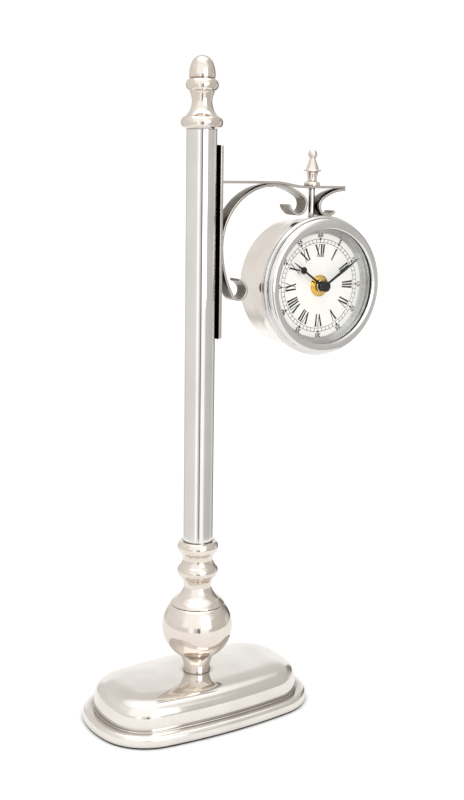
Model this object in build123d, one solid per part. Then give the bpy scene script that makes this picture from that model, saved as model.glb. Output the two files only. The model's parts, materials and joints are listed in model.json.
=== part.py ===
"""Table clock in the shape of a street clock: one sub-part per STEP file, millimetres, +Z up.

Origin: centre of the column on the plane that the felt pad rests on.
+X runs along the arm from the column to the clock head, -Y is the side that the dial faces.
"""
from build123d import *
from math import asin, atan2, cos, hypot, pi, radians, sin, sqrt
import os

# ---------------------------------------------------------------- base
BASE_LENGTH = 152.0
BASE_WIDTH = 89.0
SIDE_RADIUS = 340.0
CORNER_RADIUS = 34.0
END_RADIUS = 68.0
BASE_TOP = 26.0
FLANGE_HEIGHT = 8.0
FLANGE_ROUND = 3.0
LEDGE = 7.0
SHOULDER_RUN = 19.0
SHOULDER_FULLNESS = 0.83
CAST_WALL = 2.2
FELT_THICKNESS = 1.0
FELT_INSET = 0.6
BALLAST_THICKNESS = 4.0
BALLAST_INSET = 11.0
BOSS_RADIUS = 9.0
BOSS_BOTTOM = 9.0

# ---------------------------------------------------------------- column
TUBE_RADIUS = 9.5
TUBE_WALL = 1.2
TUBE_BOTTOM = 114.0
TUBE_TOP = 370.5
SPIGOT_LENGTH = 9.0
SPIGOT_CLEARANCE = 0.05
ROD_RADIUS = 2.95
ROD_CLEARANCE = 0.1
ROD_GRIP = 12.0
SEAM_HEIGHT = 72.0
SEAM_RADIUS = 17.6
BALL_RADIUS = 22.9
NECK_RADIUS = 9.0
BEAD_RADIUS = 13.2
ACORN_RADIUS = 8.1
ACORN_HEIGHT = 13.5
COLLAR_HEIGHT = 29.6
ROD_NUT_WIDTH = 10.0
ROD_NUT_HEIGHT = 2.4
ROD_WASHER_RADIUS = 8.0
ROD_WASHER_THICKNESS = 0.8

# ---------------------------------------------------------------- bracket
STRIP_WIDTH = 10.5
STRIP_THICKNESS = 1.6
PLATE_WIDTH = 14.0
PLATE_THICKNESS = 2.0
PLATE_BOTTOM = 243.5
PLATE_TOP = 361.5
PLATE_END_INSET = 8.0
BAR_HEIGHT = 339.5
BAR_OVERHANG = 23.2
BAR_DIP_ANGLE = 9.0
BAR_DIP_RADIUS = 50.0
BAR_DIP_RUN = 10.2
BRACE_RADIUS = 37.85
SCROLL_LEAD_ANGLE = 35.0
SCROLL_CURL_RADIUS = 6.0
SCROLL_GAP = 0.4
PLATE_SCREW_RADIUS = 1.4
PLATE_SCREW_HEAD_RADIUS = 2.6
PLATE_SCREW_HEAD_HEIGHT = 1.4
PLATE_SCREW_REACH = 2.6
RIVET_RADIUS = 1.2
RIVET_HEAD_RADIUS = 2.0
RIVET_HEAD_HEIGHT = 0.7
HOLE_CLEARANCE = 0.05

# ---------------------------------------------------------------- clock head
HEAD_X = 82.6
HEAD_TOP = 317.4
DRUM_RADIUS = 42.0
DRUM_WALL = 1.2
DRUM_REAR = 21.5
DRUM_SHOULDER = 5.0
BAND_STEP = 1.0
BAND_REAR = 2.4
BAND_FRONT = -8.5
SPIGOT_STEP = 0.8
DIAL_FACE = -10.9
DIAL_THICKNESS = 0.8
DIAL_INSET = 0.3
BEZEL_RIM = 2.7
BEZEL_FRONT = -19.3
BEZEL_LIP = 5.2
BEZEL_ROLL = 4.3
BEZEL_REAR_GAP = 0.3
BEZEL_FIT = 0.1
LIP_THICKNESS = 1.2
GLASS_THICKNESS = 1.6
GLASS_DOME = 4.2
GLASS_SEAT = 1.6
GASKET_THICKNESS = 0.5
REFLECTOR_SLOPE = 3.4
REFLECTOR_SHEET = 0.6
HANGER_RADIUS = 1.25
HANGER_SPACER_RADIUS = 2.1
HANGER_NUT_WIDTH = 5.5
HANGER_NUT_HEIGHT = 2.2
HANGER_WASHER_RADIUS = 3.2
HANGER_WASHER_THICKNESS = 0.6

# ---------------------------------------------------------------- movement and hands
CASE_WIDTH = 56.0
CASE_DEPTH = 15.0
CASE_WALL = 1.4
RUBBER_THICKNESS = 1.0
RUBBER_RADIUS = 9.0
BAY_RIB_TOP = -9.6
BAY_RIB_THICKNESS = 1.0
BUSHING_RADIUS = 3.95
BUSHING_REACH = 3.2
BUSHING_FLANGE = 5.2
BUSHING_FLANGE_THICKNESS = 0.5
BRASS_WASHER_RADIUS = 7.0
BRASS_WASHER_THICKNESS = 0.5
NUT_WIDTH = 10.5
NUT_HEIGHT = 2.3
RUNNING_FIT = 0.08
HOUR_PIPE_RADIUS = 2.5
MINUTE_ARBOR_RADIUS = 1.75
PIVOT_RADIUS = 0.8
GEAR_MODULE = 0.5
CANNON_TEETH = 10
MOTION_TEETH = 30
MOTION_PINION_TEETH = 8
HOUR_TEETH = 32
WHEEL_THICKNESS = 1.0
WHEEL_GAP = 0.4
HOUR_HAND_LENGTH = 27.5
MINUTE_HAND_LENGTH = 32.3
HAND_THICKNESS = 0.4
HOUR_HAND_ANGLE = 304.8
MINUTE_HAND_ANGLE = 57.6
HUB_RADIUS = 3.4
HUB_HEIGHT = 1.0
CAP_HEIGHT = 2.2
HAND_RISE = 1.0
KNOB_RADIUS = 5.0
KNOB_HEIGHT = 4.0
KNOB_GAP = 0.6
BATTERY_RADIUS = 7.25
BATTERY_LENGTH = 50.5
BATTERY_NUB_LENGTH = 1.3
BATTERY_NUB_RADIUS = 2.75
BATTERY_CLEARANCE = 0.4
CONTACT_THICKNESS = 0.4
CONTACT_BUTTON_RADIUS = 3.0
CONTACT_GAP = 0.3

# ---------------------------------------------------------------- sizes that follow from the above
TUBE_BORE = TUBE_RADIUS - TUBE_WALL
SPIGOT_RADIUS = TUBE_BORE - SPIGOT_CLEARANCE
ROD_BORE = ROD_RADIUS + ROD_CLEARANCE
ACORN_BOTTOM = TUBE_TOP + COLLAR_HEIGHT
PLATE_INNER = TUBE_RADIUS + HOLE_CLEARANCE
PLATE_OUTER = PLATE_INNER + PLATE_THICKNESS
CREST_HEIGHT = BAR_HEIGHT - STRIP_THICKNESS - HOLE_CLEARANCE
BRACE_START = PLATE_OUTER + HOLE_CLEARANCE + STRIP_THICKNESS / 2
BRACE_WALL_HEIGHT = CREST_HEIGHT - BRACE_RADIUS
CREST_X = BRACE_START + BRACE_RADIUS
BAR_DROP = (2 * BAR_DIP_RADIUS * (1 - cos(radians(BAR_DIP_ANGLE)))
            + BAR_DIP_RUN * sin(radians(BAR_DIP_ANGLE)))
BAR_LOW = BAR_HEIGHT - BAR_DROP
BAR_END = HEAD_X + BAR_OVERHANG
BAND_RADIUS = DRUM_RADIUS + BAND_STEP
HEAD_Z = HEAD_TOP - BAND_RADIUS
BEZEL_RADIUS = DRUM_RADIUS + BEZEL_RIM
BEZEL_MOUTH = DRUM_RADIUS - BEZEL_LIP
GLASS_RADIUS = BEZEL_MOUTH + GLASS_SEAT
REFLECTOR_INNER = BEZEL_MOUTH - REFLECTOR_SLOPE
DRUM_BORE = DRUM_RADIUS - DRUM_WALL
SPIGOT_FRONT_RADIUS = BAND_RADIUS - SPIGOT_STEP
DIAL_BACK = DIAL_FACE + DIAL_THICKNESS
CASE_FRONT = DIAL_BACK + RUBBER_THICKNESS
CASE_REAR = CASE_FRONT + CASE_DEPTH
CASE_HALF = CASE_WIDTH / 2
CASE_INNER = CASE_HALF - CASE_WALL
CASE_FLOOR = CASE_FRONT + CASE_WALL
COVER_FRONT = CASE_REAR - CASE_WALL
BUSHING_FRONT = DIAL_FACE - BUSHING_REACH
MOTION_OFFSET = GEAR_MODULE * (CANNON_TEETH + MOTION_TEETH) / 2
HOUR_WHEEL_FRONT = CASE_FLOOR + BUSHING_FLANGE_THICKNESS + 0.2
HOUR_WHEEL_REAR = HOUR_WHEEL_FRONT + WHEEL_THICKNESS
MOTION_WHEEL_FRONT = HOUR_WHEEL_REAR + WHEEL_GAP
MOTION_WHEEL_REAR = MOTION_WHEEL_FRONT + WHEEL_THICKNESS
HOUR_HAND_BACK = BUSHING_FRONT - WHEEL_GAP
HOUR_PIPE_FRONT = HOUR_HAND_BACK - HUB_HEIGHT
MINUTE_HAND_BACK = HOUR_PIPE_FRONT - HAND_RISE
MINUTE_ARBOR_FRONT = MINUTE_HAND_BACK - HAND_THICKNESS
BATTERY_Z = -CASE_INNER + BATTERY_CLEARANCE + BATTERY_RADIUS
BATTERY_Y = CASE_FLOOR + BATTERY_CLEARANCE + BATTERY_RADIUS
LIP_BACK = BEZEL_FRONT + LIP_THICKNESS
GLASS_BACK = LIP_BACK + GLASS_THICKNESS
DRUM_TOP_INSIDE = HEAD_Z + sqrt(DRUM_BORE**2 - HANGER_WASHER_RADIUS**2) - HOLE_CLEARANCE

PARTS = {}


def keep(name, shape):
    """Register one sub-part under its name."""
    PARTS[name] = shape


def turned(outline):
    """Revolve a closed (radius, height) outline about the Z axis."""
    face = make_face(Plane.XZ * outline)
    return revolve(face, Axis.Z, 360)


def outline_of(points):
    """Closed wire of straight lines and three-point arcs.

    Each entry is a corner (r, z), or a corner with the middle point of the arc that leads to it.
    """
    edges = []
    start = points[0]
    for point in points[1:]:
        if len(point) == 4:
            edges.append(ThreePointArc(start, point[:2], point[2:]))
            start = point[2:]
        else:
            edges.append(Line(start, point))
            start = point
    edges.append(Line(start, points[0]))
    return Wire(edges)


def dome_middle(radius, edge, apex):
    """Middle point of the round arc from (radius, edge) to the axis at apex, level there."""
    rise = apex - edge
    sphere = (radius**2 + rise**2) / (2 * rise)
    half_angle = asin(radius / abs(sphere)) / 2
    return abs(sphere) * sin(half_angle), apex - sphere * (1 - cos(half_angle))


def disc(radius, bottom, top, bore=0.0, x=0.0, y=0.0):
    """Upright disc or tube between two heights."""
    solid = Pos(x, y, bottom) * Cylinder(radius, top - bottom, align=(Align.CENTER, Align.CENTER, Align.MIN))
    if bore:
        solid -= Pos(x, y, bottom) * Cylinder(bore, top - bottom, align=(Align.CENTER, Align.CENTER, Align.MIN))
    return solid


def head_disc(radius, front, rear, bore=0.0, x=0.0, z=0.0):
    """Disc or tube of the clock head, its axis along Y, at (x, z) from the clock's centre."""
    tilt = Pos(HEAD_X + x, front, HEAD_Z + z) * Rot(-90, 0, 0)
    solid = tilt * Cylinder(radius, rear - front, align=(Align.CENTER, Align.CENTER, Align.MIN))
    if bore:
        solid -= tilt * Cylinder(bore, rear - front, align=(Align.CENTER, Align.CENTER, Align.MIN))
    return solid


def head_box(x_low, x_high, y_low, y_high, z_low, z_high):
    """Box of the clock head, x and z measured from the clock's centre."""
    size = (x_high - x_low, y_high - y_low, z_high - z_low)
    middle = (HEAD_X + (x_low + x_high) / 2, (y_low + y_high) / 2, HEAD_Z + (z_low + z_high) / 2)
    return Pos(*middle) * Box(*size)


def head_turned(outline):
    """Revolve a closed (radius, y) outline about the clock's own axis."""
    ring = revolve(make_face(outline), Axis.Y, 360)
    return Pos(HEAD_X, 0, HEAD_Z) * ring


def hexagon(width, height, x=0.0, y=0.0, z=0.0):
    """Upright hexagonal prism of a given width across flats."""
    sketch = RegularPolygon(width / 2, 6, major_radius=False)
    return Pos(x, y, z) * extrude(sketch, height)


# ---------------------------------------------------------------- base pieces
def corner_centre():
    """Centre of the arc that joins the long side and the end, touching both."""
    side_centre = BASE_WIDTH / 2 - SIDE_RADIUS
    end_centre = BASE_LENGTH / 2 - END_RADIUS
    from_side = SIDE_RADIUS - CORNER_RADIUS
    from_end = END_RADIUS - CORNER_RADIUS
    apart = hypot(end_centre, side_centre)
    along = (from_side**2 - from_end**2 + apart**2) / (2 * apart)
    aside = sqrt(from_side**2 - along**2)
    across = (end_centre / apart, -side_centre / apart)
    return across[0] * along + across[1] * aside, side_centre + across[1] * along - across[0] * aside


def base_outline(inset):
    """Oval of the base, moved in by inset: two flat arcs, two end arcs and four corner arcs."""
    x, y = corner_centre()
    side_centre = BASE_WIDTH / 2 - SIDE_RADIUS
    end_centre = BASE_LENGTH / 2 - END_RADIUS
    side_turn = atan2(y - side_centre, x)
    end_turn = atan2(y, x - end_centre)
    radius = CORNER_RADIUS - inset
    side, middle, end = [
        (x + radius * cos(turn), y + radius * sin(turn))
        for turn in (side_turn, (side_turn + end_turn) / 2, end_turn)]
    half_length = BASE_LENGTH / 2 - inset
    half_width = BASE_WIDTH / 2 - inset
    edges = []
    for way in (1, -1):
        edges.append(ThreePointArc((way * end[0], -way * end[1]), (way * half_length, 0), (way * end[0], way * end[1])))
        edges.append(ThreePointArc(
            (way * end[0], way * end[1]), (way * middle[0], way * middle[1]), (way * side[0], way * side[1])))
        edges.append(ThreePointArc(
            (way * side[0], way * side[1]), (0, way * half_width), (-way * side[0], way * side[1])))
        edges.append(ThreePointArc(
            (-way * side[0], way * side[1]), (-way * middle[0], way * middle[1]), (-way * end[0], way * end[1])))
    return Wire(edges)


def oval_plate(inset, bottom, top):
    """Flat plate with the outline of the base."""
    return Pos(0, 0, bottom) * extrude(make_face(base_outline(inset)), top - bottom)


def base_section(inset, foot, lid):
    """Section of the base's rim, from the flat middle of the lid out to the edge."""
    start = base_outline(inset) @ 0
    edge = hypot(start.X, start.Y)
    step = lid - BASE_TOP + FLANGE_HEIGHT
    corner = max(FLANGE_ROUND - inset, 0.5)
    wall = edge - LEDGE
    inner = wall - SHOULDER_RUN
    bend = corner * (1 - cos(radians(45)))
    shoulder_rise = SHOULDER_FULLNESS * (lid - step)
    shoulder_reach = SHOULDER_FULLNESS * SHOULDER_RUN
    edges = [
        Line((inner, foot), (edge, foot)),
        Line((edge, foot), (edge, step - corner)),
        ThreePointArc((edge, step - corner), (edge - bend, step - bend), (edge - corner, step)),
        Line((edge - corner, step), (wall, step)),
        Bezier((wall, step), (wall, step + shoulder_rise), (inner + shoulder_reach, lid), (inner, lid)),
        Line((inner, lid), (inner, foot)),
    ]
    return make_face(Plane.XZ * Wire(edges))


def base_solid(inset, foot, lid):
    """Rim section swept round the oval, and the flat middle."""
    rim = sweep(base_section(inset, foot, lid), path=base_outline(inset))
    return rim + oval_plate(inset + LEDGE + SHOULDER_RUN, foot, lid)


def make_base():
    boss_top = BASE_TOP - CAST_WALL
    shell = base_solid(0, FELT_THICKNESS, BASE_TOP)
    hollow = base_solid(CAST_WALL, FELT_THICKNESS, boss_top)
    boss = disc(BOSS_RADIUS, BOSS_BOTTOM, BASE_TOP)
    bore = disc(ROD_BORE, FELT_THICKNESS, BASE_TOP)
    keep("base_casting", (shell - hollow + boss) - bore)
    keep("felt_pad", oval_plate(FELT_INSET, 0, FELT_THICKNESS))
    ballast = oval_plate(BALLAST_INSET, BOSS_BOTTOM - BALLAST_THICKNESS, BOSS_BOTTOM)
    keep("ballast_plate", ballast - disc(ROD_BORE, 0, BOSS_BOTTOM))


# ---------------------------------------------------------------- column pieces
def make_column():
    ball_centre = SEAM_HEIGHT - sqrt(BALL_RADIUS**2 - SEAM_RADIUS**2)
    neck_top = 36.5
    ball_foot = 12.6
    ball_foot_height = ball_centre - sqrt(BALL_RADIUS**2 - ball_foot**2)
    lower = outline_of([
        (ROD_BORE, BASE_TOP),
        (NECK_RADIUS, BASE_TOP),
        (NECK_RADIUS - 0.3, BASE_TOP + 4.5, NECK_RADIUS + 0.5, neck_top - 3.2),
        (NECK_RADIUS + 1.2, neck_top - 1.2),
        (ball_foot - 1.0, ball_foot_height - 0.6),
        (ball_foot, ball_foot_height),
        (BALL_RADIUS, ball_centre, SEAM_RADIUS + 0.3, SEAM_HEIGHT - 0.7),
        (SEAM_RADIUS - 0.7, SEAM_HEIGHT),
        (ROD_BORE, SEAM_HEIGHT),
    ])
    keep("lower_baluster", turned(lower))

    waist = 8.8
    crease = 14.1
    groove = 9.9
    mid_bead = SEAM_HEIGHT + 22.2
    top_bead = SEAM_HEIGHT + 38.4
    upper = outline_of([
        (ROD_BORE, SEAM_HEIGHT),
        (SEAM_RADIUS - 0.7, SEAM_HEIGHT),
        (SEAM_RADIUS - 0.2, SEAM_HEIGHT + 0.5),
        (crease + 1.9, SEAM_HEIGHT + 2.4, crease, SEAM_HEIGHT + 4.1),
        (crease - 0.3, SEAM_HEIGHT + 4.1),
        (10.9, SEAM_HEIGHT + 7.0, waist, SEAM_HEIGHT + 11.4),
        (waist + 0.6, SEAM_HEIGHT + 14.6, BEAD_RADIUS - 1.6, SEAM_HEIGHT + 18.6),
        (BEAD_RADIUS, mid_bead, BEAD_RADIUS - 1.6, mid_bead + 3.6),
        (groove, SEAM_HEIGHT + 30.2, BEAD_RADIUS - 1.3, SEAM_HEIGHT + 34.5),
        (BEAD_RADIUS, top_bead, BEAD_RADIUS - 1.3, TUBE_BOTTOM - 0.4),
        (BEAD_RADIUS - 2.0, TUBE_BOTTOM),
        (SPIGOT_RADIUS, TUBE_BOTTOM),
        (SPIGOT_RADIUS, TUBE_BOTTOM + SPIGOT_LENGTH),
        (ROD_BORE, TUBE_BOTTOM + SPIGOT_LENGTH),
    ])
    keep("upper_baluster", turned(upper))

    tube = disc(TUBE_RADIUS, TUBE_BOTTOM, TUBE_TOP, TUBE_BORE)
    for height in plate_screw_heights():
        drill = Pos(TUBE_BORE, 0, height) * Rot(0, 90, 0)
        tube -= drill * Cylinder(PLATE_SCREW_RADIUS + HOLE_CLEARANCE, 2 * TUBE_WALL + 1)
    keep("column_tube", tube)

    collar = outline_of([
        (ROD_BORE, TUBE_TOP - SPIGOT_LENGTH),
        (SPIGOT_RADIUS, TUBE_TOP - SPIGOT_LENGTH),
        (SPIGOT_RADIUS, TUBE_TOP),
        (TUBE_RADIUS + 0.6, TUBE_TOP),
        (12.2, TUBE_TOP + 1.3),
        (13.0, TUBE_TOP + 4.4, 11.7, TUBE_TOP + 7.0),
        (7.9, TUBE_TOP + 10.6, 6.5, TUBE_TOP + 14.5),
        (6.6, TUBE_TOP + 18.8, 8.0, TUBE_TOP + 22.0),
        (10.1, TUBE_TOP + 26.2, ACORN_RADIUS + 0.9, ACORN_BOTTOM - 1.0),
        (ACORN_RADIUS - 0.4, ACORN_BOTTOM),
        (ROD_BORE, ACORN_BOTTOM),
    ])
    keep("top_collar", turned(collar))

    acorn_top = ACORN_BOTTOM + ACORN_HEIGHT
    rod_top = ACORN_BOTTOM + 6.0
    acorn = outline_of([
        (ROD_RADIUS + HOLE_CLEARANCE, ACORN_BOTTOM),
        (ACORN_RADIUS - 0.4, ACORN_BOTTOM),
        (ACORN_RADIUS, ACORN_BOTTOM + 0.6),
        (7.6, ACORN_BOTTOM + 6.2, 6.0, acorn_top - 3.2),
        (*dome_middle(6.0, acorn_top - 3.2, acorn_top), 0.0, acorn_top),
        (0.0, rod_top + 0.6),
        (ROD_RADIUS + HOLE_CLEARANCE, rod_top + 0.6),
    ])
    keep("acorn_finial", turned(acorn))

    rod_bottom = BOSS_BOTTOM - BALLAST_THICKNESS - ROD_WASHER_THICKNESS - ROD_NUT_HEIGHT - 0.4
    keep("tie_rod", disc(ROD_RADIUS, rod_bottom, rod_top))
    washer_bottom = BOSS_BOTTOM - BALLAST_THICKNESS - ROD_WASHER_THICKNESS
    keep("rod_washer", disc(ROD_WASHER_RADIUS, washer_bottom, washer_bottom + ROD_WASHER_THICKNESS, ROD_BORE))
    nut = hexagon(ROD_NUT_WIDTH, ROD_NUT_HEIGHT, z=washer_bottom - ROD_NUT_HEIGHT)
    keep("rod_nut", nut - disc(ROD_RADIUS + HOLE_CLEARANCE, 0, BASE_TOP))


# ---------------------------------------------------------------- bracket pieces
def plate_screw_heights():
    return [PLATE_BOTTOM + PLATE_END_INSET, PLATE_TOP - PLATE_END_INSET]


def arc_chain(start, heading, turns, shift):
    """Tangent arcs and lines from start, moved sideways to the left by shift.

    turns holds (radius, angle) for an arc, positive to the left, and (length, None) for a line.
    """
    angle = radians(heading)
    x = start[0] - shift * sin(angle)
    z = start[1] + shift * cos(angle)
    edges = []
    for size, sweep in turns:
        if sweep is None:
            edge = Line((x, z), (x + size * cos(angle), z + size * sin(angle)))
        else:
            side = 1 if sweep > 0 else -1
            radius = size - side * shift
            tangent = (cos(angle), sin(angle))
            edge = JernArc(start=(x, z), tangent=tangent, radius=radius, arc_size=sweep)
            angle += radians(sweep)
        edges.append(edge)
        x = (edge @ 1).X
        z = (edge @ 1).Y
    return edges


def strip(start, heading, turns, width=STRIP_WIDTH, thickness=STRIP_THICKNESS):
    """Flat strip bent along arcs in the XZ plane, centred on the plane of the arm."""
    left = arc_chain(start, heading, turns, thickness / 2)
    right = arc_chain(start, heading, turns, -thickness / 2)
    caps = [Line(left[0] @ 0, right[0] @ 0), Line(left[-1] @ 1, right[-1] @ 1)]
    face = make_face(Wire(left + right + caps))
    return Plane.XZ * extrude(face, width / 2, both=True)


def along_x(radius, x_low, x_high, height):
    """Round bar along X on the plane of the arm."""
    return Pos((x_low + x_high) / 2, 0, height) * Rot(0, 90, 0) * Cylinder(radius, x_high - x_low)


def make_bracket():
    clear = HOLE_CLEARANCE
    bar_start = PLATE_OUTER
    hanger_hole = disc(HANGER_RADIUS + clear, BAR_LOW - 2, BAR_LOW + 2, x=HEAD_X)
    crest_hole = disc(RIVET_RADIUS + clear, CREST_HEIGHT - 3, BAR_HEIGHT + 3, x=CREST_X)
    wall_hole = along_x(RIVET_RADIUS + clear, PLATE_INNER - 1, BRACE_START + 2, BRACE_WALL_HEIGHT)

    plate_height = PLATE_TOP - PLATE_BOTTOM
    plate = Pos(PLATE_INNER + PLATE_THICKNESS / 2, 0, PLATE_BOTTOM + plate_height / 2) * Box(
        PLATE_THICKNESS, PLATE_WIDTH, plate_height)
    plate = fillet(plate.edges().filter_by(Axis.X), 1.5)
    for height in plate_screw_heights():
        plate -= along_x(PLATE_SCREW_RADIUS + clear, PLATE_INNER - 1, PLATE_OUTER + 1, height)
    keep("wall_plate", plate - wall_hole)

    dip_length = 2 * BAR_DIP_RADIUS * sin(radians(BAR_DIP_ANGLE)) + BAR_DIP_RUN * cos(radians(BAR_DIP_ANGLE))
    straight = CREST_X - bar_start
    tail = BAR_END - CREST_X - dip_length
    bar = strip((bar_start, BAR_HEIGHT), 0, [
        (straight, None),
        (BAR_DIP_RADIUS, -BAR_DIP_ANGLE),
        (BAR_DIP_RUN, None),
        (BAR_DIP_RADIUS, BAR_DIP_ANGLE),
        (tail, None),
    ])
    keep("top_bar", bar - hanger_hole - crest_hole)

    wall_point = (BRACE_START, BRACE_WALL_HEIGHT)
    upper = strip(wall_point, 90, [(BRACE_RADIUS, -90), (40.0, -34), (6.2, -178), (9.0, -42)])
    lower = strip(wall_point, 270, [(60.0, 30), (5.6, 195), (12.0, 25)])
    keep("brace_scroll", upper + lower - crest_hole - wall_hole)

    scroll_start = (BAR_END, BAR_LOW - STRIP_THICKNESS - clear)
    scroll_left = HEAD_X + HANGER_SPACER_RADIUS + SCROLL_GAP + STRIP_THICKNESS / 2
    lead = radians(SCROLL_LEAD_ANGLE)
    curl_run = SCROLL_CURL_RADIUS * (1 - sin(lead))
    lead_radius = (BAR_END - scroll_left - curl_run) / sin(lead)
    scroll = strip(scroll_start, 180, [
        (lead_radius, SCROLL_LEAD_ANGLE), (SCROLL_CURL_RADIUS, 150), (9.0, 40)])
    keep("end_scroll", scroll)

    screws = []
    for height in plate_screw_heights():
        shank = along_x(PLATE_SCREW_RADIUS, TUBE_RADIUS - PLATE_SCREW_REACH, PLATE_OUTER, height)
        head = along_x(PLATE_SCREW_HEAD_RADIUS, PLATE_OUTER, PLATE_OUTER + PLATE_SCREW_HEAD_HEIGHT, height)
        rim = head.edges().filter_by(GeomType.CIRCLE).sort_by(Axis.X)[-1]
        head = fillet(rim, PLATE_SCREW_HEAD_HEIGHT / 2)
        slot = Pos(PLATE_OUTER + PLATE_SCREW_HEAD_HEIGHT, 0, height) * Box(
            PLATE_SCREW_HEAD_HEIGHT, 2 * PLATE_SCREW_HEAD_RADIUS, 0.7)
        screws.append(shank + head - slot)
    keep("plate_screws", Compound(screws))

    sag = RIVET_HEAD_RADIUS**2 / (2 * (BRACE_RADIUS - STRIP_THICKNESS)) + 0.02
    crest_top = BAR_HEIGHT + STRIP_THICKNESS / 2
    crest_bottom = CREST_HEIGHT - STRIP_THICKNESS / 2 - sag
    crest_rivet = disc(RIVET_RADIUS, crest_bottom, crest_top, x=CREST_X)
    crest_rivet += disc(RIVET_HEAD_RADIUS, crest_bottom - RIVET_HEAD_HEIGHT, crest_bottom, x=CREST_X)
    brace_face = BRACE_START + STRIP_THICKNESS / 2 + sag
    wall_rivet = along_x(RIVET_RADIUS, PLATE_INNER, brace_face, BRACE_WALL_HEIGHT)
    wall_rivet += along_x(RIVET_HEAD_RADIUS, brace_face, brace_face + RIVET_HEAD_HEIGHT, BRACE_WALL_HEIGHT)
    keep("bracket_rivets", Compound([crest_rivet, wall_rivet]))


def make_hanger():
    bar_top = BAR_LOW + STRIP_THICKNESS / 2
    bar_bottom = BAR_LOW - STRIP_THICKNESS / 2
    drum_top = HEAD_Z + BAND_RADIUS
    washer_bottom = DRUM_TOP_INSIDE - HANGER_WASHER_THICKNESS
    nut_bottom = washer_bottom - HANGER_NUT_HEIGHT
    finial_bore_top = bar_top + 7.5
    keep("hanger_stud", disc(HANGER_RADIUS, nut_bottom - 0.6, finial_bore_top - 0.4, x=HEAD_X))
    spacer = disc(HANGER_SPACER_RADIUS, drum_top - 1.0, bar_bottom, HANGER_RADIUS + HOLE_CLEARANCE, x=HEAD_X)
    spacer -= head_disc(BAND_RADIUS + 0.01, -5, 5)
    keep("hanger_spacer", spacer)
    bore = HANGER_RADIUS + HOLE_CLEARANCE
    keep("hanger_washer", disc(HANGER_WASHER_RADIUS, washer_bottom, DRUM_TOP_INSIDE, bore, x=HEAD_X))
    nut = hexagon(HANGER_NUT_WIDTH, HANGER_NUT_HEIGHT, HEAD_X, 0, nut_bottom)
    keep("hanger_nut", nut - disc(bore, nut_bottom - 1, washer_bottom + 1, x=HEAD_X))

    ball_radius = 3.05
    ball_centre = 19.7
    throat = 1.9
    throat_height = ball_centre - sqrt(ball_radius**2 - throat**2)
    cone_foot = 4.3
    brim = 5.9
    brim_height = 9.6
    neck = 3.05
    flange = 5.2
    finial = outline_of([
        (bore, 0),
        (flange - 0.2, 0),
        (flange, 0.2),
        (flange, 1.4),
        (flange - 0.6, 2.4, neck + 0.6, 2.8),
        (neck, 3.4),
        (neck + 0.1, 5.8, neck + 0.9, 8.3),
        (brim - 0.3, brim_height - 0.5),
        (brim, brim_height),
        (brim - 0.3, brim_height + 0.4),
        (cone_foot, brim_height + 0.9),
        (throat, throat_height),
        (ball_radius, ball_centre, 0.0, ball_centre + ball_radius),
        (0.0, finial_bore_top - bar_top),
        (bore, finial_bore_top - bar_top),
    ])
    keep("cone_finial", Pos(HEAD_X, 0, bar_top) * turned(finial))


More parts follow.
